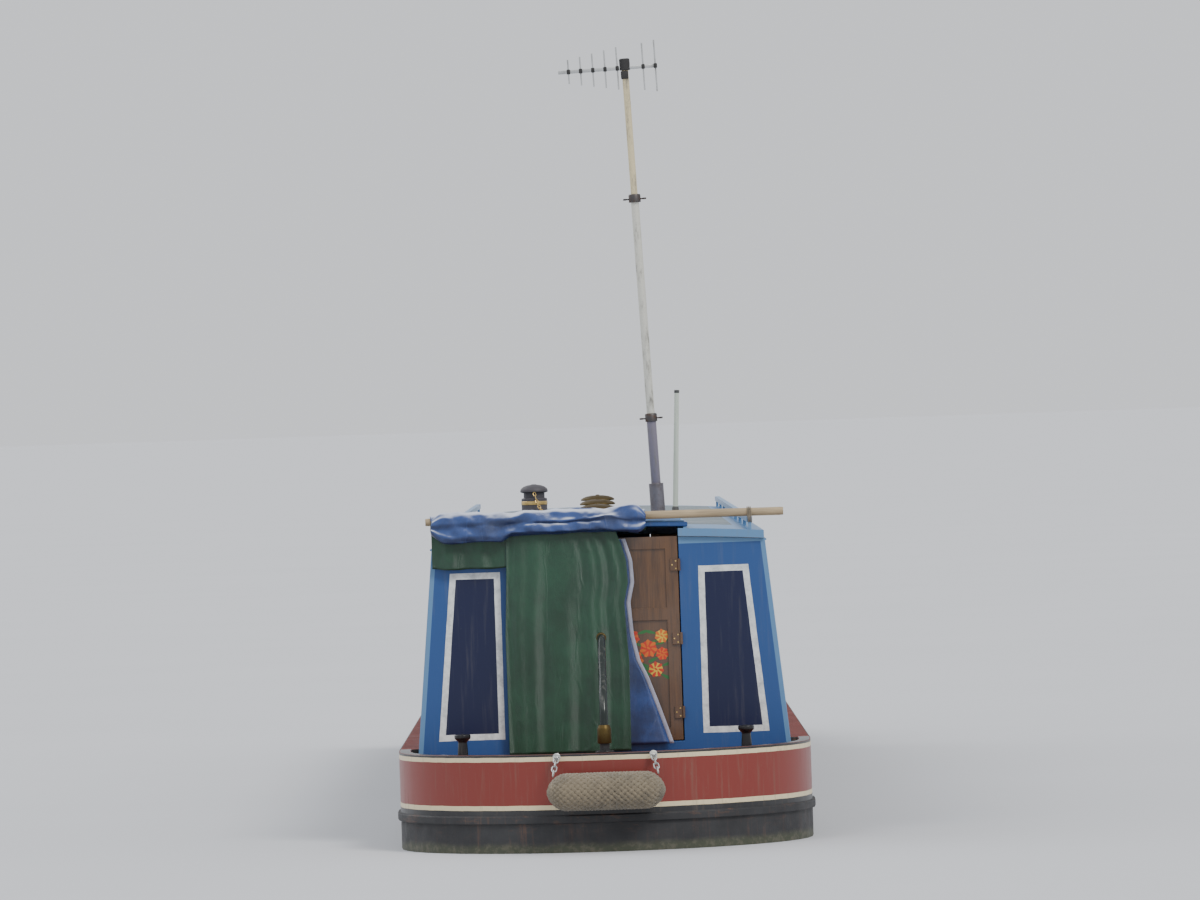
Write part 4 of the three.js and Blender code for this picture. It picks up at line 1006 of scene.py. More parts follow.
class NARROWBOAT_OT_cabin(Builder, bpy.types.Operator):
    """Paints the cabin's sides and end walls in blue with lined navy panels"""
    bl_idname = "narrowboat.cabin"
    bl_label = "Cabin"

    def execute(self, context):
        lining = lining_material()
        foot, top = SIDE_PANEL_ZS
        panels = [[(0, 1, 0, -y1), (0, -1, 0, y0), (0, 0, 1, -top), (0, 0, -1, foot)] for y0, y1 in SIDE_PANELS]
        sides = panelled("cabin_side_paint", self.colours, panels, self.sizes.side_line_width)
        for side, sign in SIDES.items():
            softened(f"cabin_side_{side}", "cabin_blue", sides, lining, width=0.003,
                     paint=lambda centre, normal: int(normal.x * sign < -0.3))
        self.end_walls(lining)
        self.below_decks()
        return {"FINISHED"}

    def end_walls(self, lining):
        sizes = self.sizes
        reach = CABIN_BASE_HALF + TUMBLEHOME * GUNWALE_Z
        corner = (1, 0, TUMBLEHOME, sizes.panel_margin - reach)
        foot, top = END_PANEL_ZS
        edges = [(1, 0, TUMBLEHOME, sizes.edge_strip - reach), (0, 0, 1, -(ROOF_EDGE_Z - 0.055))]
        for end, inner, low, strips, inward in (("rear", sizes.panel_inner, foot, edges, -1),
                                                ("front", sizes.panel_inner - 0.04, FRONT_PANEL_FOOT_Z, (), 1)):
            panel = [(-1, 0, 0, inner), corner, (0, 0, 1, -top), (0, 0, -1, low)]
            paint = panelled(f"{end}_wall_paint", self.colours, [panel], sizes.line_width, strips)
            softened(f"{end}_bulkhead", "panel_navy", paint, lining, width=0.004,
                     paint=lambda centre, normal: int(normal.y * inward > 0.5))

    def below_decks(self):
        boards = timber("floor_boards", (0.34, 0.2, 0.1), (0.16, 0.085, 0.04), "Y", 4.0, 0.45, 0.3)
        softened("cabin_floor", "floor_wood", boards, width=0.003)
        concrete = plain("cast_concrete", 0.9, (45.0, 6, 0.7), (0.17, 0.17, 0.16), (0.38, 0.37, 0.34), 0.003, 0.6)
        softened("ballast", "concrete", concrete, width=0.006)
        green = enamel("engine_enamel", (0.035, 0.12, 0.075), 0.35, 0.5)
        softened("engine_block", "engine_green", green, width=0.02, segments=4)


class NARROWBOAT_OT_roof(Builder, bpy.types.Operator):
    """Finishes the roof, its handrails, hatch and vents"""
    bl_idname = "narrowboat.roof"
    bl_label = "Roof"

    def execute(self, context):
        colours = self.colours
        border = [(1, 0, 0, -0.7), (0, 1, 0, -(CABIN_REAR - 1.46)), (0, -1, 0, CABIN_FRONT + 0.1)]
        sanded = non_slip("roof_paint", colours.roof, border, colours.edge)
        edge = enamel("edge_paint", colours.edge, 0.32, 0.3)
        lining = lining_material()

        def paint(centre, normal):
            if normal.z < -0.6:
                return 2
            return 0 if normal.z > 0.6 else 1
        softened("cabin_roof", "roof_paint", sanded, edge, lining, width=0.006, segments=3, paint=paint)
        blue = enamel("hatch_paint", colours.cabin, 0.32, 0.35)
        softened("rear_hatch", "cabin_blue", blue, width=0.006, segments=3)
        self.hatch_trim(edge)
        for side in SIDES:
            softened(f"handrail_{side}", "rail_paint", edge, width=0.008, segments=3)
        self.vents()
        self.drips(edge)
        return {"FINISHED"}

    def hatch_trim(self, edge):
        """A raised lip round the hatch, and its brass handle"""
        inset = Vector((0.022, 0.022, 0))
        low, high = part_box("rear_hatch")
        near, far = low + inset, high - inset

        def top(x):
            return roof_top(x) + 0.0323
        bm = bmesh.new()
        for y in (near.y, far.y):
            xs = [near.x + share * (far.x - near.x) for share in shares(16)]
            add_tube(bm, [(x, y, top(x) + 0.001) for x in xs], 0.006, 8)
        for x in (near.x, far.x):
            add_tube(bm, [(x, y, top(x) + 0.001) for y in (near.y, far.y)], 0.006, 8)
        finished("hatch_lip", bm, "rear_hatch", "cabin_blue", edge)
        bm = bmesh.new()
        y = low.y + 0.13
        z = top(0) - 0.001
        half = [(0.09, y, z), (0.09, y, z + 0.016), (0.075, y, z + 0.03)]
        add_tube(bm, curve_through([(-x, *rest) for x, *rest in half] + half[::-1], 5), 0.007)
        for x in (-0.09, 0.09):
            add_lathe(bm, [(0, 0), (0.02, 0), (0.02, 0.004), (0.012, 0.006), (0, 0.006)], (x, y, z), sides=20)
        finished("hatch_handle", bm, "rear_hatch", "brass", metal("brass_handle", self.colours.brass, 0.25))

    def vents(self):
        """Mushroom vents over the stubs on the roof"""
        # The vents' brass is darkened to near black as painted shade
        brass = metal("vent_brass_in_painted_shade", shaded(0.12, self.colours.brass), 0.5, amount=0.85, scale=12.0)
        ridge = ROOF_EDGE_Z + ROOF_CAMBER
        collar = [(0.0625, 0.0), (0.082, 0.0), (0.082, 0.006), (0.068, 0.01), (0.064, 0.046), (0.0625, 0.046)]
        dome = [(0.0, 0.05), (0.075, 0.05), (0.1, 0.05), (0.105, 0.054), (0.103, 0.06), (0.09, 0.069),
                (0.066, 0.077), (0.036, 0.082), (0.012, 0.083), (0.01, 0.087), (0.0, 0.088)]
        for i, y in enumerate(VENT_YS):
            bm = bmesh.new()
            add_lathe(bm, collar, (0, y, ridge - 0.0005), sides=40)
            add_lathe(bm, dome, (0, y, ridge), sides=48)
            for u, v in circle(0.052, 6):
                add_tube(bm, [(u, y + v, ridge + 0.044), (u, y + v, ridge + 0.052)], 0.006, 8)
            finished(f"mushroom_vent_{i + 1}", bm, "hull", "brass", brass)

    def drips(self, edge):
        """A gutter bead under each edge of the roof"""
        bm = bmesh.new()
        z = ROOF_EDGE_Z - 0.047
        for side in (-1, 1):
            x = side * (cabin_half(z) + 0.0035)
            add_tube(bm, [(x, CABIN_FRONT + 0.02, z), (x, CABIN_REAR - 0.02, z)], 0.005, 8)
        finished("gutter_beads", bm, "hull", "rail_paint", edge)


# Windows

def rounded_loop(width, height, radius, steps=12):
    """Points round a rectangle with round corners, anticlockwise from the lower right"""
    half_u, half_v = width / 2 - radius, height / 2 - radius
    points = []
    for corner, (cu, cv) in enumerate(((1, -1), (1, 1), (-1, 1), (-1, -1))):
        start = -math.pi / 2 + corner * math.pi / 2
        for i in range(steps + 1):
            angle = start + i * math.pi / 2 / steps
            points.append((cu * half_u + radius * math.cos(angle), cv * half_v + radius * math.sin(angle)))
    return points


class NARROWBOAT_OT_windows(Builder, bpy.types.Operator):
    """Makes each window's frame, pane, screws and curtains"""
    bl_idname = "narrowboat.windows"
    bl_label = "Windows"

    def execute(self, context):
        self.satin = metal("satin_aluminium", (0.62, 0.64, 0.65), 0.38, (0.3, 0.3, 0.29), 0.5)
        self.brass = metal("port_brass", self.colours.brass, 0.26, scale=18.0)
        self.glass = glass_material()
        self.rubber = rubber_material()
        self.cotton = curtain_material()
        for side, sign in SIDES.items():
            for name, (y, width, height) in WINDOWS.items():
                self.window(f"{name}_window_{side}", sign, y, width, height)
        return {"FINISHED"}

    def place(self, sign, y):
        """From window coordinates (along the boat, up the wall, outwards) to the frame"""
        across = Vector((sign * math.cos(TUMBLEHOME_ANGLE), 0, math.sin(TUMBLEHOME_ANGLE)))
        up = Vector((-sign * math.sin(TUMBLEHOME_ANGLE), 0, math.cos(TUMBLEHOME_ANGLE)))
        middle = Vector((sign * cabin_half(WINDOW_Z), y, WINDOW_Z))
        return lambda u, v, w: middle + Vector((0, u, 0)) + up * v + across * w

    def rings(self, bm, at, size, sections):
        """Rings round a window from (how far out from the opening, how far outwards) pairs"""
        width, height, radius = size
        return [[bm.verts.new(at(u, v, out)) for u, v in
                 rounded_loop(width + 2 * grow, height + 2 * grow, radius + grow)] for grow, out in sections]

    def window(self, node, sign, y, width, height):
        round_one = height == 0
        size = (width, width, width / 2) if round_one else (width, height, WINDOW_CORNER)
        at = self.place(sign, y)
        bm = bmesh.new()
        metal_section = [(-0.014, -0.01), (-0.014, 0.001), (-0.01, 0.005), (-0.002, 0.0075), (0.014, 0.0078),
                         (0.02, 0.006), (0.022, 0.0022), (0.022, 0.0004), (-0.0006, 0.0004), (-0.0006, -0.01)]
        seal_section = [(-0.0142, -0.008), (-0.02, -0.006), (-0.0145, -0.0015)]
        for index, sections in enumerate((metal_section, seal_section)):
            grid_faces(bm, self.rings(bm, at, size, sections), closed_along=True, index=index)
        if not round_one:
            self.hopper_bar(bm, at, width, height)
        self.screws(bm, at, size, 12 if round_one else 22)
        slot, main = ("brass", self.brass) if round_one else ("window_frame", self.satin)
        finished(node + "_frame", bm, "hull", slot, main, self.rubber, instead=node)
        self.pane(node, at, size, slot)
        if not round_one:
            self.curtains(node, at, width, height)

    def hopper_bar(self, bm, at, width, height):
        """The bar under the hinged top light"""
        level = height / 2 - HOPPER_DEPTH
        section = [(-0.012, -0.008), (-0.012, 0.004), (-0.006, 0.006), (0.006, 0.006), (0.012, 0.004),
                   (0.012, -0.008)]
        rings = [[bm.verts.new(at(u, level + v, w)) for v, w in section]
                 for u in (-width / 2 + 0.012, width / 2 - 0.012)]
        grid_faces(bm, rings)
        close_ends(bm, rings)

    def screws(self, bm, at, size, count):
        width, height, radius = size
        loop = rounded_loop(width + 0.022, height + 0.022, radius + 0.011)
        outward = at(0, 0, 1) - at(0, 0, 0)
        lengths = [0.0]
        for a, b in zip(loop, loop[1:] + loop[:1]):
            lengths.append(lengths[-1] + math.dist(a, b))
        for k in range(count):
            target = (k + 0.5) / count * lengths[-1]
            i = next(j for j in range(len(loop)) if lengths[j + 1] >= target)
            t = (target - lengths[i]) / (lengths[i + 1] - lengths[i])
            a, b = loop[i], loop[(i + 1) % len(loop)]
            u, v = a[0] + (b[0] - a[0]) * t, a[1] + (b[1] - a[1]) * t
            add_lathe(bm, [(0.0036, 0.0), (0.0034, 0.0008), (0.002, 0.0014), (0.0, 0.0016)],
                      at(u, v, 0.0077), outward, 8)

    def pane(self, node, at, size, slot):
        bm = bmesh.new()
        rings = self.rings(bm, at, size, [(-0.016, -0.008), (-0.016, -0.004)])
        grid_faces(bm, rings)
        close_ends(bm, rings)
        finished(node + "_pane", bm, "hull", slot, self.glass)

    def curtains(self, node, at, width, height):
        """A pair of gathered curtains hung on a rail inside the wall"""
        top, deep = height / 2 + 0.04, -CURTAIN_DEPTH
        rail = bmesh.new()
        add_tube(rail, [at(u, top, deep) for u in (-width / 2 - 0.05, width / 2 + 0.05)], 0.006)
        finished(node + "_curtain_rail", rail, "hull", "brass", self.brass)
        gathered, drop = width * 0.26, height + 0.08
        bm = bmesh.new()
        for end in (-1, 1):
            grid = []
            for share in shares(72):
                column = []
                for fall in shares(12):
                    wave = math.sin(share * CURTAIN_FOLDS * 2 * math.pi + 0.7 * math.sin(3 * fall + end))
                    u = end * (width / 2 + 0.03 - share * gathered) + end * 0.012 * fall * share
                    column.append(at(u, top - 0.004 - drop * fall, deep + 0.004 + (0.01 + 0.006 * fall) * wave))
                grid.append(column)
            add_sheet_grid(bm, grid)
        piece = finished(node + "_curtains", bm, "hull", "window_frame", self.cotton)
        apply_modifier(piece, "SOLIDIFY", thickness=0.0012)


# Doors

def add_pad(bm, outline, face, lift, index):
    """A flat pad of paint on a door's rear face"""
    rings = [[bm.verts.new((x, y, z)) for x, z in outline] for y in (face, face + lift)]
    grid_faces(bm, rings, index=index)
    bm.faces.new(rings[1]).material_index = index


def add_petal(bm, start, face, angle, length, width, lift, index):
    """A brush stroke of paint, shaped like a drop"""
    outline = []
    for x, y in circle(1.0, 14):
        along = length * (0.5 - 0.5 * x)
        across = width / 2 * y * (0.35 + 0.65 * (0.5 - 0.5 * x))
        outline.append((start[0] + along * math.cos(angle) - across * math.sin(angle),
                        start[1] + along * math.sin(angle) + across * math.cos(angle)))
    add_pad(bm, outline, face, lift, index)


def add_rose(bm, x, z, face, radius, rim, heart):
    """A painted rose: a round ground with petal strokes round a heart"""
    add_pad(bm, [(x + u, z + v) for u, v in circle(radius * 0.86, 20)], face, 0.0006, heart)
    for i, (u, v) in enumerate(circle(radius * 0.3, 7, 0.3)):
        angle = 2 * math.pi * i / 7 + 0.8
        add_petal(bm, (x + u, z + v), face + 0.0006, angle, radius * 0.72, radius * 0.52, 0.0004 + 0.00001 * i, rim)
    add_petal(bm, (x - radius * 0.22, z - radius * 0.1), face + 0.0011, 0.6, radius * 0.5, radius * 0.3, 0.0004, rim)


class NARROWBOAT_OT_doors(Builder, bpy.types.Operator):
    """Finishes both pairs of doors with graining, painted roses, screws and knobs"""
    bl_idname = "narrowboat.doors"
    bl_label = "Doors"

    def execute(self, context):
        colours = self.colours
        grained = timber("grained_doors", colours.door, shaded(0.38, colours.door), "Z", 5.0, 0.32, 0.5, 0.25)
        blue = enamel("front_door_paint", colours.cabin, 0.3, 0.25)
        self.brass = metal("door_brass", colours.brass, 0.25, scale=24.0)
        for side, sign in SIDES.items():
            softened(f"rear_door_{side}", "door_wood", grained, width=0.003)
            softened(f"front_door_{side}", "cabin_blue", blue, self.brass, width=0.003,
                     paint=lambda centre, normal: int(centre.y < CABIN_FRONT - 0.0008))
            self.ornament(side, sign)
            self.furniture(f"rear_door_{side}", sign, CABIN_REAR, 1, REAR_DOOR_HALF, REAR_DOORWAY_ZS)
            self.furniture(f"front_door_{side}", sign, CABIN_FRONT, -1, FRONT_DOOR_HALF, FRONT_DOORWAY_ZS)
        return {"FINISHED"}

    def ornament(self, side, sign):
        """Roses with leaves on the lower panel"""
        colours = self.colours
        paints = [enamel(f"{name}_ornament_{side}", colour, 0.3, 0.2) for name, colour in (
            ("red", colours.red), ("cream", colours.cream), ("leaf", (0.03, 0.14, 0.04)),
            ("orange", (0.58, 0.13, 0.02)), ("yellow", (0.62, 0.4, 0.05)))]
        red, cream, leaf, orange, yellow = range(5)
        middle = sign * (DOOR_GAP / 2 + REAR_DOOR_HALF - DOOR_GAP) / 2
        face = CABIN_REAR - PANEL_SUNK
        bm = bmesh.new()
        blooms = [(0.036, 1.505, 0.046, orange, red), (0.104, 1.566, 0.036, orange, yellow),
                  (0.104, 1.478, 0.034, red, orange), (0.07, 1.4, 0.04, red, yellow),
                  (-0.052, 1.56, 0.046, red, orange), (-0.04, 1.452, 0.05, orange, red),
                  (-0.028, 1.36, 0.042, cream, yellow)]
        for i, (out, v, size, rim, heart) in enumerate(blooms):
            u = middle + sign * out
            add_rose(bm, u, v, face + PAINT_LAYER * i, size, rim, heart)
            for k, lean in enumerate((0.5, 2.6, 3.9, 5.6)):
                start = (u + size * 0.8 * math.cos(lean), v + size * 0.8 * math.sin(lean))
                add_petal(bm, start, face, lean + (0.25 if k % 2 else -0.25), 0.055, 0.022,
                          0.0001 + PAINT_LAYER * 0.6 * (4 * i + k), leaf)
        finished(f"rear_door_{side}_ornament", bm, f"rear_door_{side}", "door_wood", *paints)

    def furniture(self, node, sign, face, out, hinge, heights):
        """Screws in the hinges, and a knob by the meeting edge"""
        foot, top = heights
        bm = bmesh.new()
        for share in HINGE_SHARES:
            z = foot + (top - foot) * share
            for dx, dz in ((0.016, -0.019), (0.034, 0.0), (0.016, 0.019)):
                add_lathe(bm, [(0.0042, 0.0), (0.0038, 0.001), (0.0, 0.0016)],
                          (sign * (hinge - dx), face + out * HINGE_STANDOFF, z + dz), (0, out, 0), 10)
        knob = [(0.0, 0.0), (0.02, 0.0), (0.02, 0.002), (0.009, 0.004), (0.008, 0.011), (0.014, 0.015),
                (0.016, 0.019), (0.014, 0.024), (0.0, 0.026)]
        add_lathe(bm, knob, (sign * 0.033, face + out * 0.0005, foot + (top - foot) * 0.46), (0, out, 0), 28)
        finished(node + "_furniture", bm, node, "brass", self.brass)


# Tarpaulin and pole

def add_sheet_grid(bm, grid, index=0):
    """Faces between columns of points, each column one list of places"""
    columns = [[bm.verts.new(p) for p in column] for column in grid]
    for a, b in zip(columns, columns[1:]):
        for j in range(len(a) - 1):
            bm.faces.new([a[j], a[j + 1], b[j + 1], b[j]]).material_index = index


class NARROWBOAT_OT_tarpaulin(Builder, bpy.types.Operator):
    """Hangs the blue and green tarpaulin over the pole, bunched to port and dropping before the doors"""
    bl_idname = "narrowboat.tarpaulin"
    bl_label = "Tarpaulin"

    def execute(self, context):
        colours = self.colours
        # The numbers are each side's painted shade on faces that point down and, on the blue side, its painted
        # highlight on faces that point up
        blue = woven_sheet("sheet_blue_side", colours.sheet_blue, 0.35, 0.9)
        green = woven_sheet("sheet_green_side", colours.sheet_green, 0.55)
        hem = woven_sheet("sheet_hem", colours.hem, 0.7)
        self.bunch(blue, green)
        self.valance(blue, green)
        self.drop(green, blue, hem)
        return {"FINISHED"}

    def hung(self, name, bm, flat, held, *materials):
        """One stretch of the sheet on the pole, with its thickness. The second material is on its other face."""
        piece = finished(name, bm, "hull", "tarpaulin", *materials, smooth=75.0)
        apply_modifier(piece, "SOLIDIFY", thickness=0.0009, offset=0.0, material_offset=1, material_offset_rim=1,
                       use_even_offset=False)
        return piece

    def section(self, x):
        """The sheet's way over the pole and through its folds at one place across the boat"""
        def wave(scale, seed):
            return bumpy(x * scale, seed * 7.31, 0.0)
        y, z, r = POLE_MIDDLE.y, POLE_MIDDLE.z, POLE_RADIUS + 0.0035
        knob = math.exp(-((x - BUNCH_XS[0] - 0.075) / 0.07) ** 2)
        high = z + r + 0.014 + 0.012 * wave(5, 1) + 0.008 * wave(14, 2) + 0.022 * knob
        rear = y + 0.104 + 0.014 * wave(4, 3) + 0.008 * wave(13, 4)
        beside = clipped((x - BUNCH_STEP_X) / 0.05)
        low = BUNCH_FOOT_Z + 0.008 + 0.01 * (1 + wave(6, 5)) - 0.03 * beside
        middle = (z + low) / 2
        return [
            (y - r - 0.002, z - 0.02), (y - r - 0.001, z + 0.004), (y - 0.016, z + r + 0.001),
            (y + 0.01, z + r + 0.003), (y + r + 0.004, z - 0.004), (y + r + 0.003, middle + 0.02),
            (y + r + 0.003, low + 0.018), (y + r + 0.01, low + 0.002), (y + r + 0.017, low + 0.02),
            (y + r + 0.013 + 0.004 * wave(8, 6), middle + 0.012), (y + r + 0.012, z + 0.004),
            (y + r + 0.022, high - 0.006), (y + 0.062, high + 0.004 * wave(11, 7)),
            (rear - 0.018, high - 0.02 + 0.012 * wave(7, 8)), (rear - 0.004, z - 0.004 + 0.018 * wave(9, 9)),
            (rear - 0.01 + 0.012 * wave(10, 10), middle + 0.014),
            (rear + 0.003, middle - 0.02 + 0.014 * wave(6, 11)),
            (rear - 0.008, low + 0.006), (rear - 0.02, low), (rear - 0.026, low + 0.012),
            (rear - 0.024 + 0.004 * wave(12, 12), middle - 0.01),
            (rear - 0.03, middle + 0.026 + 0.01 * wave(9, 13)),
        ]

    def bunch(self, blue, green):
        """The sheet rolled over the pole, pinched in at both ends"""
        centre = Vector((0, POLE_MIDDLE.y + 0.058, POLE_MIDDLE.z - 0.025))
        grid = []
        for share in shares(180):
            x = BUNCH_XS[0] + (BUNCH_XS[1] - BUNCH_XS[0]) * share
            floor = BUNCH_FOOT_Z if x < BUNCH_STEP_X else BUNCH_FOOT_Z - 0.034
            line = curve_through([(x, y, z) for y, z in self.section(x)], 5)
            near_end = min(1.0, share / 0.045, (1 - share) / 0.07)
            pinch = 0.45 + 0.55 * math.sin(near_end * math.pi / 2)
            column = []
            for t, p in zip(shares(len(line) - 1), line):
                crumple = (bumpy(x * 4.5 - t * 3, t * 24, 3.7) * 0.0065 + bumpy(x * 15 + t * 9, t * 12, 6.3) * 0.0055
                           + bumpy(x * 42, t * 40, 9.1) * 0.0012
                           + 0.0016 * math.sin(30 * (x * 0.6 + t * 0.25) + 5 * t)) * clipped((t - 0.25) / 0.15)
                y, z = p.y + crumple, p.z + 0.8 * crumple
                away = Vector((y - POLE_MIDDLE.y, z - POLE_MIDDLE.z))
                if t > 0.3:
                    y, z = centre.y + (y - centre.y) * pinch, centre.z + (z - centre.z) * pinch
                elif away.length < POLE_RADIUS + 0.0022:
                    away = away.normalized() * (POLE_RADIUS + 0.0022)
                    y, z = POLE_MIDDLE.y + away.x, POLE_MIDDLE.z + away.y
                column.append((x + 0.008 * bumpy(t * 6, x * 3, 5.0), y, max(floor, z)))
            grid.append(column)
        bm = bmesh.new()
        add_sheet_grid(bm, grid)
        self.hung("tarpaulin_bunch", bm, (1.07, 0.58), "gathered", blue, green)

    def valance(self, blue, green):
        """The sheet's green edge, which shows below the bunch over the port panel"""
        top = DROP_ZS[0]
        grid = []
        for share in shares(70):
            x = VALANCE_XS[0] + (VALANCE_XS[1] - VALANCE_XS[0]) * share
            foot = VALANCE_FOOT_Z + 0.012 * bumpy(x * 6, 1.0, 0.0) + 0.05 * max(0.0, share - 0.85)
            column = []
            for t in shares(19):
                z = top + (foot - top) * t
                fold = 0.006 * math.sin(share * 5.2 * math.pi + 1.2 + 0.8 * t) * (0.25 + 0.75 * t)
                fold += 0.003 * bumpy(x * 30, z * 12, 2.0)
                column.append((x, POLE_MIDDLE.y + 0.05 + fold - 0.01 * t, z))
            grid.append(column)
        bm = bmesh.new()
        add_sheet_grid(bm, grid)
        self.hung("tarpaulin_valance", bm, (0.4, 0.23), "hung", green, blue)

    def drop(self, green, blue, hem):
        """The stretch before the doors: soft green folds, and behind them a layer that shows its blue side"""
        top, foot = DROP_ZS
        grid = []
        for share in shares(200):
            eased = share + 0.025 * math.sin(2 * math.pi * share + 1.1)
            column = []
            for t in shares(90):
                z = top + (foot - top) * t
                right, left = between(DROP_RIGHT, z), between(DROP_LEFT, z)
                x = right + (left - right) * eased
                depth = self.sizes.fold_depth * (0.35 + 0.65 * min(1.0, t * 1.8)) * 0.72
                phase = share * self.sizes.fold_count * 2 * math.pi + 0.9 * math.sin(1.7 * t + 4.0 * share)
                fold = math.sin(phase) + 0.35 * math.sin(2.3 * phase + 1.9 * t) * (1 - 0.6 * t)
                fold += bumpy(x * 9, z * 2.6, 4.4) * 0.6 + bumpy(x * 2.0, z * 1.3, 8.8) * 0.5
                column.append((x, DROP_Y + depth * clipped(fold / 1.5, -1.0) + 0.002 * math.cos(phase * 2),
                               z + 0.01 * bumpy(x * 6, 0.0, 1.0) * t))
            grid.append(column)
        bm = bmesh.new()
        add_sheet_grid(bm, grid)
        self.under_layer(bm)
        piece = self.hung("tarpaulin_drop", bm, (0.86, 1.15), "hung", green, blue, green, hem, hem)
        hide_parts("tarpaulin")
        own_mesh(piece)

    def under_layer(self, bm):
        """The back of the sheet, which hangs askew beyond the front's edge and ends in a pale hem"""
        high, low = HEM_LINE[0][0], DROP_ZS[1] + 0.03
        inner, hemmed = [], []
        for t in shares(70):
            z = high + (low - high) * t

            def place(x, lift=0.0):
                ripple = 0.004 * math.sin(34 * x + 3 * z) + 0.003 * bumpy(x * 12, z * 4, 6.0)
                return x, UNDER_LAYER_Y + ripple + lift, z
            start, edge = between(DROP_RIGHT, z) + 0.06, between(HEM_LINE, z)
            seam = edge + HEM_WIDTH
            inner.append([place(start + (seam - start) * share) for share in shares(9)])
            hemmed.append([place(x, 0.001 * math.sin(math.pi * k / 3))
                           for k, x in enumerate((seam, seam - 0.0075, seam - 0.015, edge))])
        add_sheet_grid(bm, inner, 1)
        add_sheet_grid(bm, hemmed, 3)


class NARROWBOAT_OT_pole(Builder, bpy.types.Operator):
    """Lays the bare timber pole across the handrails"""
    bl_idname = "narrowboat.pole"
    bl_label = "Cross pole"

    def execute(self, context):
        colours = self.colours
        bark = pole_material(colours)
        sawn = timber("pole_end_grain", (0.5, 0.4, 0.26), (0.24, 0.17, 0.09), "X", 22.0, 0.85, 0.0, 0.6)
        bm = bmesh.new()
        rings = []
        for share in shares(120):
            x = POLE_LOW.x + (POLE_HIGH.x - POLE_LOW.x) * share
            ring = []
            for u, v in circle(1.0, 26):
                lump = bumpy(x * 4.0, u * 0.7, v * 0.7) * 0.0022 + bumpy(x * 1.5, u * 5, v * 5) * 0.0009
                r = min(POLE_RADIUS, POLE_RADIUS - 0.0014 - 0.0015 * share + lump)
                if share in (0, 1):
                    r -= 0.0015
                ring.append(bm.verts.new((x, POLE_MIDDLE.y + r * u, POLE_MIDDLE.z + r * v)))
            rings.append(ring)
        grid_faces(bm, rings)
        close_ends(bm, rings, 1)
        finished("cross_pole_timber", bm, "hull", "pole_wood", bark, sawn, instead="cross_pole")
        self.lashings()
        return {"FINISHED"}

    def lashings(self):
        """A few turns of thin line that tie the pole down to each handrail"""
        bm = bmesh.new()
        for sign in (-1, 1):
            for turn in (-1, 0, 1):
                points = []
                for u, v in circle(1.0, 28):
                    z = (POLE_RADIUS + 0.0032) * v if v > 0 else -0.053 * abs(v) ** 0.5
                    points.append((sign * 0.76 + turn * 0.0075 + 0.002 * v,
                                   POLE_MIDDLE.y + (POLE_RADIUS + 0.0032) * u, POLE_MIDDLE.z + z))
                add_tube(bm, points, 0.003, 7, closed=True)
        finished("pole_lashings", bm, "hull", "fender_rope", rope_material(self.colours, "lashing_line"))


# Mast and aerials

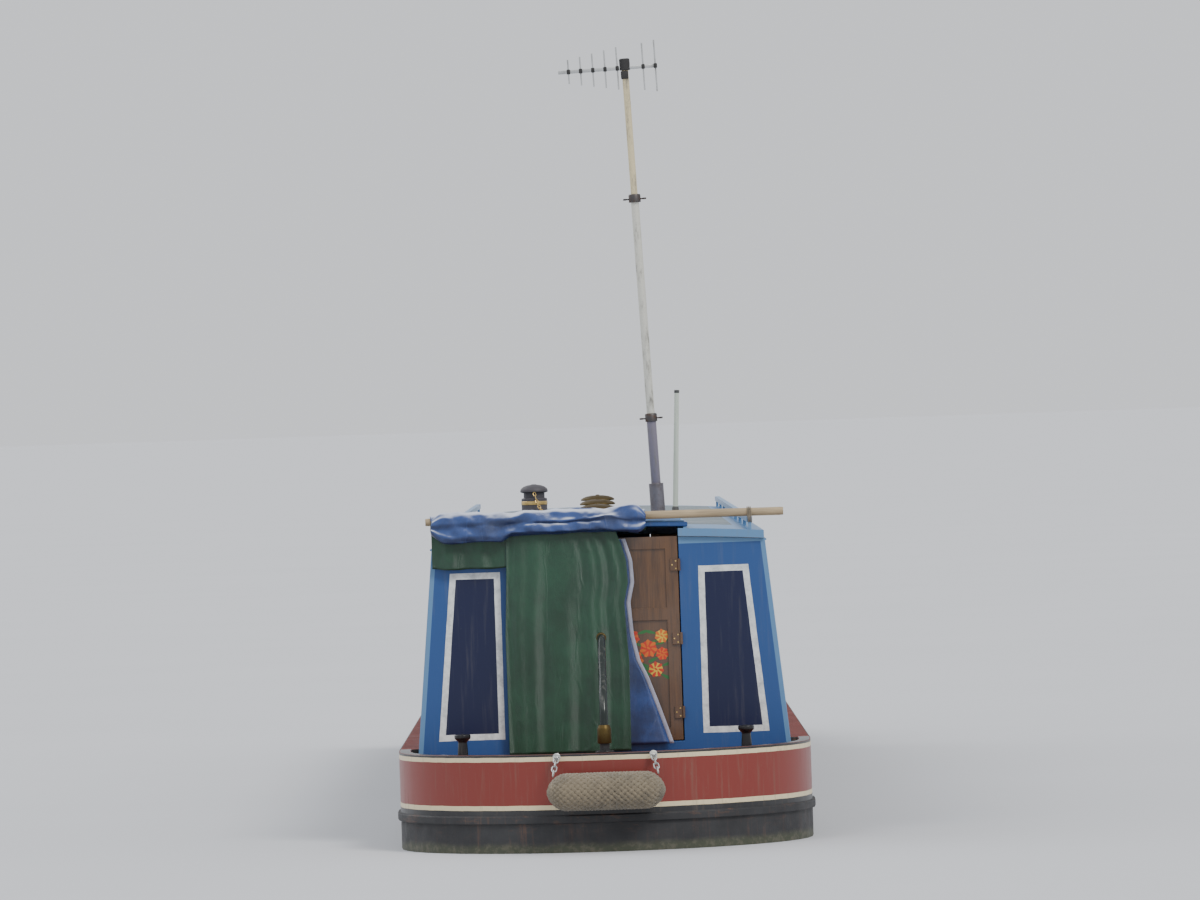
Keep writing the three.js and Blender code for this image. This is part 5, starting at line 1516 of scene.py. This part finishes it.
class NARROWBOAT_OT_mast(Builder, bpy.types.Operator):
    """Raises the three-part mast with its television aerial, and the rod aerial beside it"""
    bl_idname = "narrowboat.mast"
    bl_label = "Mast and aerials"

    def execute(self, context):
        self.axis = Vector((math.sin(MAST_LEAN), 0, math.cos(MAST_LEAN)))
        self.turn = turn_to(self.axis)
        self.tubes()
        self.aerial()
        self.socket()
        self.whip()
        return {"FINISHED"}

    def at(self, x, y, z):
        """A place on the leaning mast, from its foot"""
        return Matrix.Translation(MAST_FOOT) @ self.turn @ Vector((x, y, z))

    def tubes(self):
        top = MAST_LENGTH + 0.002
        low, high = MAST_COLLARS
        bm = bmesh.new()
        profile = [(0.0, 0.0026), (0.024, 0.0026), (0.0248, 0.004), (0.0248, low), (0.021, low + 0.003),
                   (0.021, high), (0.0175, high + 0.003), (0.0175, top - 0.002), (0.016, top), (0.0, top)]
        add_lathe(bm, profile, MAST_FOOT, self.axis, 28)
        finished("mast_tubes", bm, "mast", "bare_aluminium", mast_material(), instead="mast")
        bm = bmesh.new()
        for height, r in ((low, 0.0249), (high, 0.0211)):
            ring = [(r, -0.022), (0.0316, -0.021), (0.0316, 0.016), (0.0285, 0.021), (r - 0.0033, 0.022)]
            add_lathe(bm, ring, self.at(0, 0, height), self.axis, 28)
            for side in (-1, 1):
                add_tube(bm, [self.at(x * side, 0, height - 0.004) for x in (0.03, 0.047)], 0.004)
                add_lathe(bm, [(0, -0.005), (0.01, -0.004), (0.01, 0.004), (0, 0.005)],
                          self.at(0.051 * side, 0, height - 0.004), self.axis, 14)
        dark = metal("dark_clamps", (0.09, 0.085, 0.085), 0.5, (0.16, 0.07, 0.03), 0.5, 40.0)
        finished("mast_clamps", bm, "mast", "bare_aluminium", dark)

    def aerial(self):
        """A small vertical-element aerial on the mast's head"""
        boom = MAST_LENGTH + 0.0146
        bm = bmesh.new()
        add_box(bm, self.at(0.09, 0, boom), (0.26, 0.009, 0.009), 0.003, 2, self.turn)
        for i, x in enumerate(ELEMENT_XS):
            reach = (0.27 - 0.024 * i) / 2
            add_tube(bm, [self.at(x, 0, boom + end) for end in (-reach, reach)], 0.0042)
        aluminium = metal("weathered_aluminium", (0.56, 0.57, 0.57), 0.4, (0.25, 0.25, 0.24), 0.6)
        finished("aerial_rods", bm, "mast", "bare_aluminium", aluminium, instead="tv_aerial")
        bm = bmesh.new()
        for x in ELEMENT_XS:
            add_box(bm, self.at(x, 0, boom), (0.009, 0.0125, 0.0125), 0.003, 2, self.turn)
        add_lathe(bm, [(0.0178, -0.002), (0.0275, -0.001), (0.0275, 0.056), (0.022, 0.06), (0.0, 0.06)],
                  self.at(0, 0, MAST_LENGTH + 0.0032), self.axis, 24)
        add_box(bm, self.at(0.004, 0.012, boom - 0.038), (0.0196, 0.014, 0.021), 0.005, 3, self.turn)
        finished("aerial_fittings", bm, "mast", "bare_aluminium", rubber_material())

    def socket(self):
        zinc = metal("weathered_zinc", (0.2, 0.19, 0.21), 0.5, (0.12, 0.09, 0.07), 0.5)
        softened("mast_socket", "galvanised", zinc, width=0.002)
        bolt = [(0.0, 0.0), (0.012, 0.0), (0.012, 0.002), (0.0085, 0.002), (0.0085, 0.008), (0.0, 0.009)]
        bm = bmesh.new()
        for x in (-0.058, 0.058):
            for y in (-0.058, 0.058):
                add_lathe(bm, bolt, MAST_FOOT + Vector((x, y, 0.004)), sides=6)
        finished("socket_bolts", bm, "hull", "galvanised", zinc)

    def whip(self):
        """A weathered fibreglass rod in a plastic foot"""
        x, y = WHIP_PLACE
        plastic = plain("whip_foot", 0.6, (60.0, 5, 0.6), (0.04, 0.042, 0.04), (0.1, 0.1, 0.095), 0.0006, 0.4)
        rod = Finish("whip_rod")
        streaks = rod.noise(40.0, 5, 0.6, rod.scaled(1.0, 1.0, 0.1))
        rod.set(Base_Color=rod.mix(streaks, (0.4, 0.46, 0.38), (0.6, 0.64, 0.56)))
        rod.bump(streaks, 0.0006, 0.4)
        foot = Vector((x, y, roof_top(x + 0.026) + 0.0006))
        start = Vector((x, y, roof_top(x - 0.026) + 0.0403))
        lean = Vector((-math.sin(WHIP_LEAN), 0, math.cos(WHIP_LEAN)))
        bm = bmesh.new()
        add_lathe(bm, [(0.0, 0.003), (0.026, 0.003), (0.026, 0.006), (0.021, 0.014), (0.018, 0.04), (0.0145, 0.046),
                       (0.0, 0.046)], foot, sides=28, index=1)
        add_lathe(bm, [(0.0255, 0.0), (0.0255, 0.003)], foot, sides=28, index=1)
        line = [start + lean * (WHIP_LENGTH * share) for share in shares(12)]
        add_tube(bm, line, lambda share: 0.0145 - 0.002 * share, 18)
        add_lathe(bm, [(0.0146, 0.0), (0.018, 0.004), (0.018, 0.04), (0.0146, 0.048)], start, lean, 24, 1)
        add_lathe(bm, [(0.0126, -0.016), (0.014, -0.014), (0.014, -0.002), (0.012, 0.0004), (0.0, 0.0008)],
                  start + lean * WHIP_LENGTH, lean, 20, 1)
        finished("whip_rod", bm, "hull", "rod_plastic", rod.material, plastic, instead="whip_aerial")


# Chimney

class NARROWBOAT_OT_chimney(Builder, bpy.types.Operator):
    """Makes the chimney's collar with its domed cap and the chain that keeps it"""
    bl_idname = "narrowboat.chimney"
    bl_label = "Chimney"

    def execute(self, context):
        soot = Finish("chimney_paint")
        ash = soot.noise(14.0, 6, 0.65) * (0.35 + soot.step(soot.noise(3.0, 4, 0.5), 0.4, 0.7))
        soot.set(Base_Color=soot.mix(ash, (0.02, 0.018, 0.024), (0.085, 0.078, 0.088)), Roughness=0.3 + ash * 0.6)
        soot.bump(soot.noise(70.0, 4, 0.6), 0.001, 0.5)
        x, y = CHIMNEY_PLACE
        foot = Vector((x, y, roof_top(x - 0.095) + 0.0003))
        bm = bmesh.new()
        profile = [(0.0, 0.0), (0.094, 0.0), (0.095, 0.002), (0.095, 0.006), (0.092, 0.009), (0.08, 0.014),
                   (0.078, 0.02), (0.078, 0.086), (0.075, 0.09), (0.064, 0.092), (0.064, 0.122), (0.08, 0.126),
                   (0.084, 0.13), (0.084, 0.138), (0.079, 0.149), (0.066, 0.16), (0.042, 0.169), (0.016, 0.173),
                   (0.015, 0.175), (0.0, 0.175)]
        add_lathe(bm, profile, foot, sides=56)
        for u, v in circle(0.087, 6, 0.3):
            bolt = [(0.0, 0.0), (0.006, 0.0), (0.006, 0.004), (0.0, 0.005)]
            add_lathe(bm, bolt, foot + Vector((u, v, 0.0085)), sides=6)
        finished("chimney_body", bm, "hull", "chimney_black", soot.material, instead="chimney")
        bands = bmesh.new()
        add_lathe(bands, [(0.0784, 0.05), (0.0802, 0.052), (0.0802, 0.07), (0.0784, 0.072)], foot, sides=56)
        start = foot + Vector((0.0, 0.082, 0.128))
        end = Vector((x - 0.06, y + 0.16, roof_top(x) + 0.008))
        add_chain(bands, start, end, 0.03, 0.024, 0.015, 0.0022)
        add_lathe(bands, [(0.0, 0.0), (0.012, 0.0), (0.012, 0.003), (0.006, 0.005), (0.006, 0.01), (0.0, 0.012)],
                  end - Vector((0, 0, 0.008)), sides=16)
        brass = metal("chimney_brass", self.colours.brass, 0.3, scale=20.0)
        finished("chimney_band", bands, "hull", "brass", brass)
        return {"FINISHED"}


# Fore end

class NARROWBOAT_OT_fore_end(Builder, bpy.types.Operator):
    """Finishes the well, the fore deck with its T-stud and the gas locker's lid"""
    bl_idname = "narrowboat.fore_end"
    bl_label = "Fore end"

    def execute(self, context):
        colours = self.colours
        deck = non_slip("fore_deck_paint", colours.deck)
        gloss = enamel("fore_gloss", (0.01, 0.01, 0.012), 0.28, 0.25)
        brass = metal("fore_brass", colours.brass, 0.28, scale=22.0)
        steel = blacking_material(colours)

        def paint(centre, normal):
            if centre.z > FORE_DECK_Z + 0.026:
                return 1
            return 0 if normal.z > 0.5 else 2
        softened("fore_deck", "deck_red", deck, gloss, steel, width=0.0035, paint=paint)
        softened("gas_locker_lid", "deck_red", deck, width=0.003)
        softened("well_floor", "deck_red", deck, width=0.003)
        softened("locker_bulkhead", "cabin_blue", enamel("locker_paint", colours.cabin, 0.34, 0.4), width=0.003)
        self.lid_fittings(brass)
        return {"FINISHED"}

    def lid_fittings(self, brass):
        """Two hinges along the lid's forward edge, with their screws"""
        low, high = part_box("gas_locker_lid")
        y, top = low.y, high.z - 0.018
        bm = bmesh.new()
        for x in (-0.15, 0.15):
            add_tube(bm, [(x + end, y + 0.008, top + 0.004) for end in (-0.035, 0.035)], 0.0055, 12)
            add_box(bm, (x, y + 0.04, top + 0.0015), (0.035, 0.03, 0.0015), 0.001, 1)
            for k in (-1, 1):
                add_lathe(bm, [(0.0045, 0.0), (0.004, 0.0012), (0.0, 0.0018)],
                          (x + k * 0.02, y + 0.05, top + 0.003), sides=10)
        finished("lid_hinges", bm, "gas_locker_lid", "brass", brass)


# Sterngear

class NARROWBOAT_OT_sterngear(Builder, bpy.types.Operator):
    """Finishes the rudder, the swan neck in dark gloss with its fittings, the propeller and the brass filler caps"""
    bl_idname = "narrowboat.sterngear"
    bl_label = "Rudder and propeller"

    def execute(self, context):
        softened("rudder", "hull_black", blacking_material(self.colours), width=0.002)
        self.swan_neck()
        self.propeller()
        self.deck_fittings()
        return {"FINISHED"}

    def swan_neck(self):
        gloss = enamel("tiller_gloss", (0.01, 0.016, 0.014), 0.22, 0.35)
        line = curve_through([(0, y, z) for y, z in SWAN_NECK], 10)
        bm = bmesh.new()
        add_tube(bm, line, 0.0198, 24)
        finished("swan_neck_bar", bm, "rudder_and_tiller", "tiller_paint", gloss, instead="swan_neck")
        # The fittings' brass is darkened to near black as painted shade
        bronze = metal("tiller_brass_in_painted_shade", shaded(0.13, self.colours.brass), 0.45, amount=0.8, scale=20.0)
        end = line[-1]
        back = (line[-4] - end).normalized()
        boss = [(0.0, 0.0003), (0.033, 0.0003), (0.034, 0.002), (0.034, 0.07), (0.031, 0.078), (0.026, 0.09),
                (0.0, 0.09)]
        collar = [(0.0202, 0.0), (0.024, 0.001), (0.025, 0.006), (0.024, 0.05), (0.0202, 0.052)]
        cap = [(0.0, -0.001), (0.0135, 0.0), (0.0135, 0.004), (0.0, 0.004)]
        bm = bmesh.new()
        add_lathe(bm, boss, (0, SWAN_NECK[0][0], STOCK_TOP_Z))
        add_lathe(bm, collar, end + back * 0.01, back, 28)
        add_lathe(bm, cap, end - back * 0.003, back, 20)
        finished("swan_neck_fittings", bm, "rudder_and_tiller", "tiller_paint", bronze)

    def propeller(self):
        """Cast bronze with softened edges and dull patches"""
        mat = Finish("cast_bronze", metallic=0.9)
        patch = mat.noise(18.0, 7, 0.7)
        mat.set(Base_Color=mat.mix(mat.step(patch, 0.35, 0.65), (0.42, 0.26, 0.1), (0.16, 0.15, 0.09)),
                Roughness=0.3 + patch * 0.4)
        mat.bump(mat.noise(90.0, 4, 0.6), 0.0008, 0.5)
        softened("propeller", "bronze", mat.material, width=0.0032, limit=30.0)

    def deck_fittings(self):
        """Brass filler caps on the rear deck"""
        bm = bmesh.new()
        for x, y, r in FILLERS:
            cap = [(r, 0.0005), (r + 0.001, 0.003), (r - 0.002, 0.006), (r * 0.5, 0.007), (0.0, 0.0072)]
            add_lathe(bm, cap, (x, y, REAR_DECK_Z), sides=28)
            for u in (r * 0.6, -r * 0.6):
                add_lathe(bm, [(0.0035, 0.0), (0.003, 0.0012), (0.0, 0.0016)], (x + u, y, REAR_DECK_Z + 0.0064),
                          sides=8)
        finished("deck_fillers", bm, "hull", "brass", metal("deck_brass", self.colours.brass, 0.3, scale=24.0))


# Fenders

class NARROWBOAT_OT_fenders(Builder, bpy.types.Operator):
    """Weaves the rope fenders at the stem and behind the counter, and hangs them on chains"""
    bl_idname = "narrowboat.fenders"
    bl_label = "Fenders"

    def execute(self, context):
        rope = rope_material(self.colours)
        bow_axis = Vector((0, math.sin(BOW_RAKE), -math.cos(BOW_RAKE)))
        for node, axis in (("bow_fender", bow_axis), ("stern_fender", Vector((1, 0, 0)))):
            radius, length = FENDER_SIZES[node]
            low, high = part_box(node)
            middle = (low + high) / 2
            self.weave(node, middle, axis, radius, length / 2, rope)
            self.eyes(node, middle, axis, radius + length / 2, rope)
        self.chains()
        return {"FINISHED"}

    def weave(self, node, middle, axis, radius, half, rope):
        """Two families of strands, each over and under the other, round a stuffed core"""
        at = Matrix.Translation(middle) @ turn_to(axis)
        count = self.sizes.rope_turns
        strand = math.pi * radius / count * math.sqrt(0.5) * 0.98
        lift = strand * 0.42
        reach = half + radius * 0.985

        def profile(s):
            return math.sqrt(max(0.0, radius ** 2 - max(0.0, abs(s) - half) ** 2))
        bm = bmesh.new()
        line = [(s, profile(s)) for s in (-reach + 2 * reach * share for share in shares(118))]
        for family in (1, -1):
            for i in range(count):
                points = []
                angle = 2 * math.pi * i / count
                previous = line[0]
                for s, r in line:
                    angle += family * math.dist((s, r), previous) / max(radius * 0.55, r)
                    previous = (s, r)
                    out = max(0.006, r - strand - lift + family * lift * math.cos(count * angle))
                    points.append(at @ Vector((out * math.cos(angle), out * math.sin(angle), s * 0.985)))
                add_tube(bm, points, strand, 6, ends=False)
        inner = reach * 0.95
        core = [(max(0.004, profile(s) - 2 * strand - lift), s)
                for s in (-inner + 2 * inner * share for share in shares(20)[1:-1])]
        add_lathe(bm, [(0.0, -inner), *core, (0.0, inner)], middle, axis, 28)
        piece = finished(node + "_weave", bm, "hull", "fender_rope", rope, smooth=60.0, instead=node)

    def eyes(self, node, middle, axis, reach, rope):
        """A whipped rope boss at each end"""
        boss = [(0.0, -0.03), (0.03, -0.03), (0.034, -0.02), (0.03, -0.012), (0.026, -0.006), (0.016, -0.003),
                (0.0, -0.002)]
        bm = bmesh.new()
        for out in (-axis, axis):
            add_lathe(bm, boss, middle + out * reach, out, 22)
        finished(node + "_eyes", bm, "hull", "fender_rope", rope)

    def chains(self):
        """Two chains to each fender, from eye plates on the counter's rim and the stem"""
        bm = bmesh.new()
        low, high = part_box("stern_fender")
        for sign in (-1, 1):
            start = Vector((sign * 0.235, STERN - 0.004, GUNWALE_Z - 0.012))
            end = Vector((sign * 0.255, (low.y + high.y) / 2, high.z - 0.012))
            self.eye_plate(bm, start, Vector((0, 1, 0)))
            add_chain(bm, start + Vector((0, 0.014, -0.004)), end, 0.0, *CHAIN_LINK)
        low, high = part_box("bow_fender")
        for sign in (-1, 1):
            stem = Vector((sign * 0.034, STEM + 0.07, 1.3))
            end = Vector((sign * 0.02, low.y + 0.12, high.z - 0.012))
            self.eye_plate(bm, stem - Vector((sign * 0.004, 0, 0)), Vector((sign, 0, 0)))
            add_chain(bm, stem + Vector((sign * 0.01, 0, -0.006)), end, 0.004, *CHAIN_LINK)
        finished("fender_chains", bm, "hull", "galvanised", galvanised_material())

    def eye_plate(self, bm, at, out):
        """A welded pad with a ring standing out of it"""
        add_lathe(bm, [(0.0, -0.004), (0.019, -0.004), (0.019, 0.004), (0.015, 0.006), (0.0, 0.006)], at, out, 20)
        across = Vector((0, 0, 1)).cross(out)
        points = [at + out * (0.012 + u) + across * v for u, v in circle(0.011, 16)]
        add_tube(bm, points, 0.0034, 7, closed=True)


# Add-on

PIECES = [
    NARROWBOAT_OT_hull, NARROWBOAT_OT_cabin, NARROWBOAT_OT_windows, NARROWBOAT_OT_doors, NARROWBOAT_OT_roof,
    NARROWBOAT_OT_chimney, NARROWBOAT_OT_pole, NARROWBOAT_OT_tarpaulin, NARROWBOAT_OT_mast,
    NARROWBOAT_OT_fore_end, NARROWBOAT_OT_sterngear, NARROWBOAT_OT_fenders, NARROWBOAT_OT_stage,
]


class NARROWBOAT_PT_panel(bpy.types.Panel):
    """Lists the operators in the order that they run, and the properties that they read"""
    bl_idname = "NARROWBOAT_PT_panel"
    bl_label = "Narrowboat"
    bl_space_type = "VIEW_3D"
    bl_region_type = "UI"
    bl_category = "Narrowboat"

    def draw(self, context):
        for settings in (context.scene.narrowboat_colours, context.scene.narrowboat_sizes):
            column = self.layout.column(align=True)
            for name in type(settings).__annotations__:
                column.prop(settings, name)
        column = self.layout.column(align=True)
        for piece in PIECES:
            column.operator(piece.bl_idname)


CLASSES = [NarrowboatColours, NarrowboatSizes, *PIECES, NARROWBOAT_PT_panel]


def register():
    for made in CLASSES:
        bpy.utils.register_class(made)
    bpy.types.Scene.narrowboat_colours = PointerProperty(type=NarrowboatColours)
    bpy.types.Scene.narrowboat_sizes = PointerProperty(type=NarrowboatSizes)


def unregister():
    del bpy.types.Scene.narrowboat_sizes
    del bpy.types.Scene.narrowboat_colours
    for made in reversed(CLASSES):
        bpy.utils.unregister_class(made)


def main():
    register()
    for piece in PIECES:
        group, name = piece.bl_idname.split(".")
        getattr(getattr(bpy.ops, group), name)()
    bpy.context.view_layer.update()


if __name__ == "__main__":
    main()
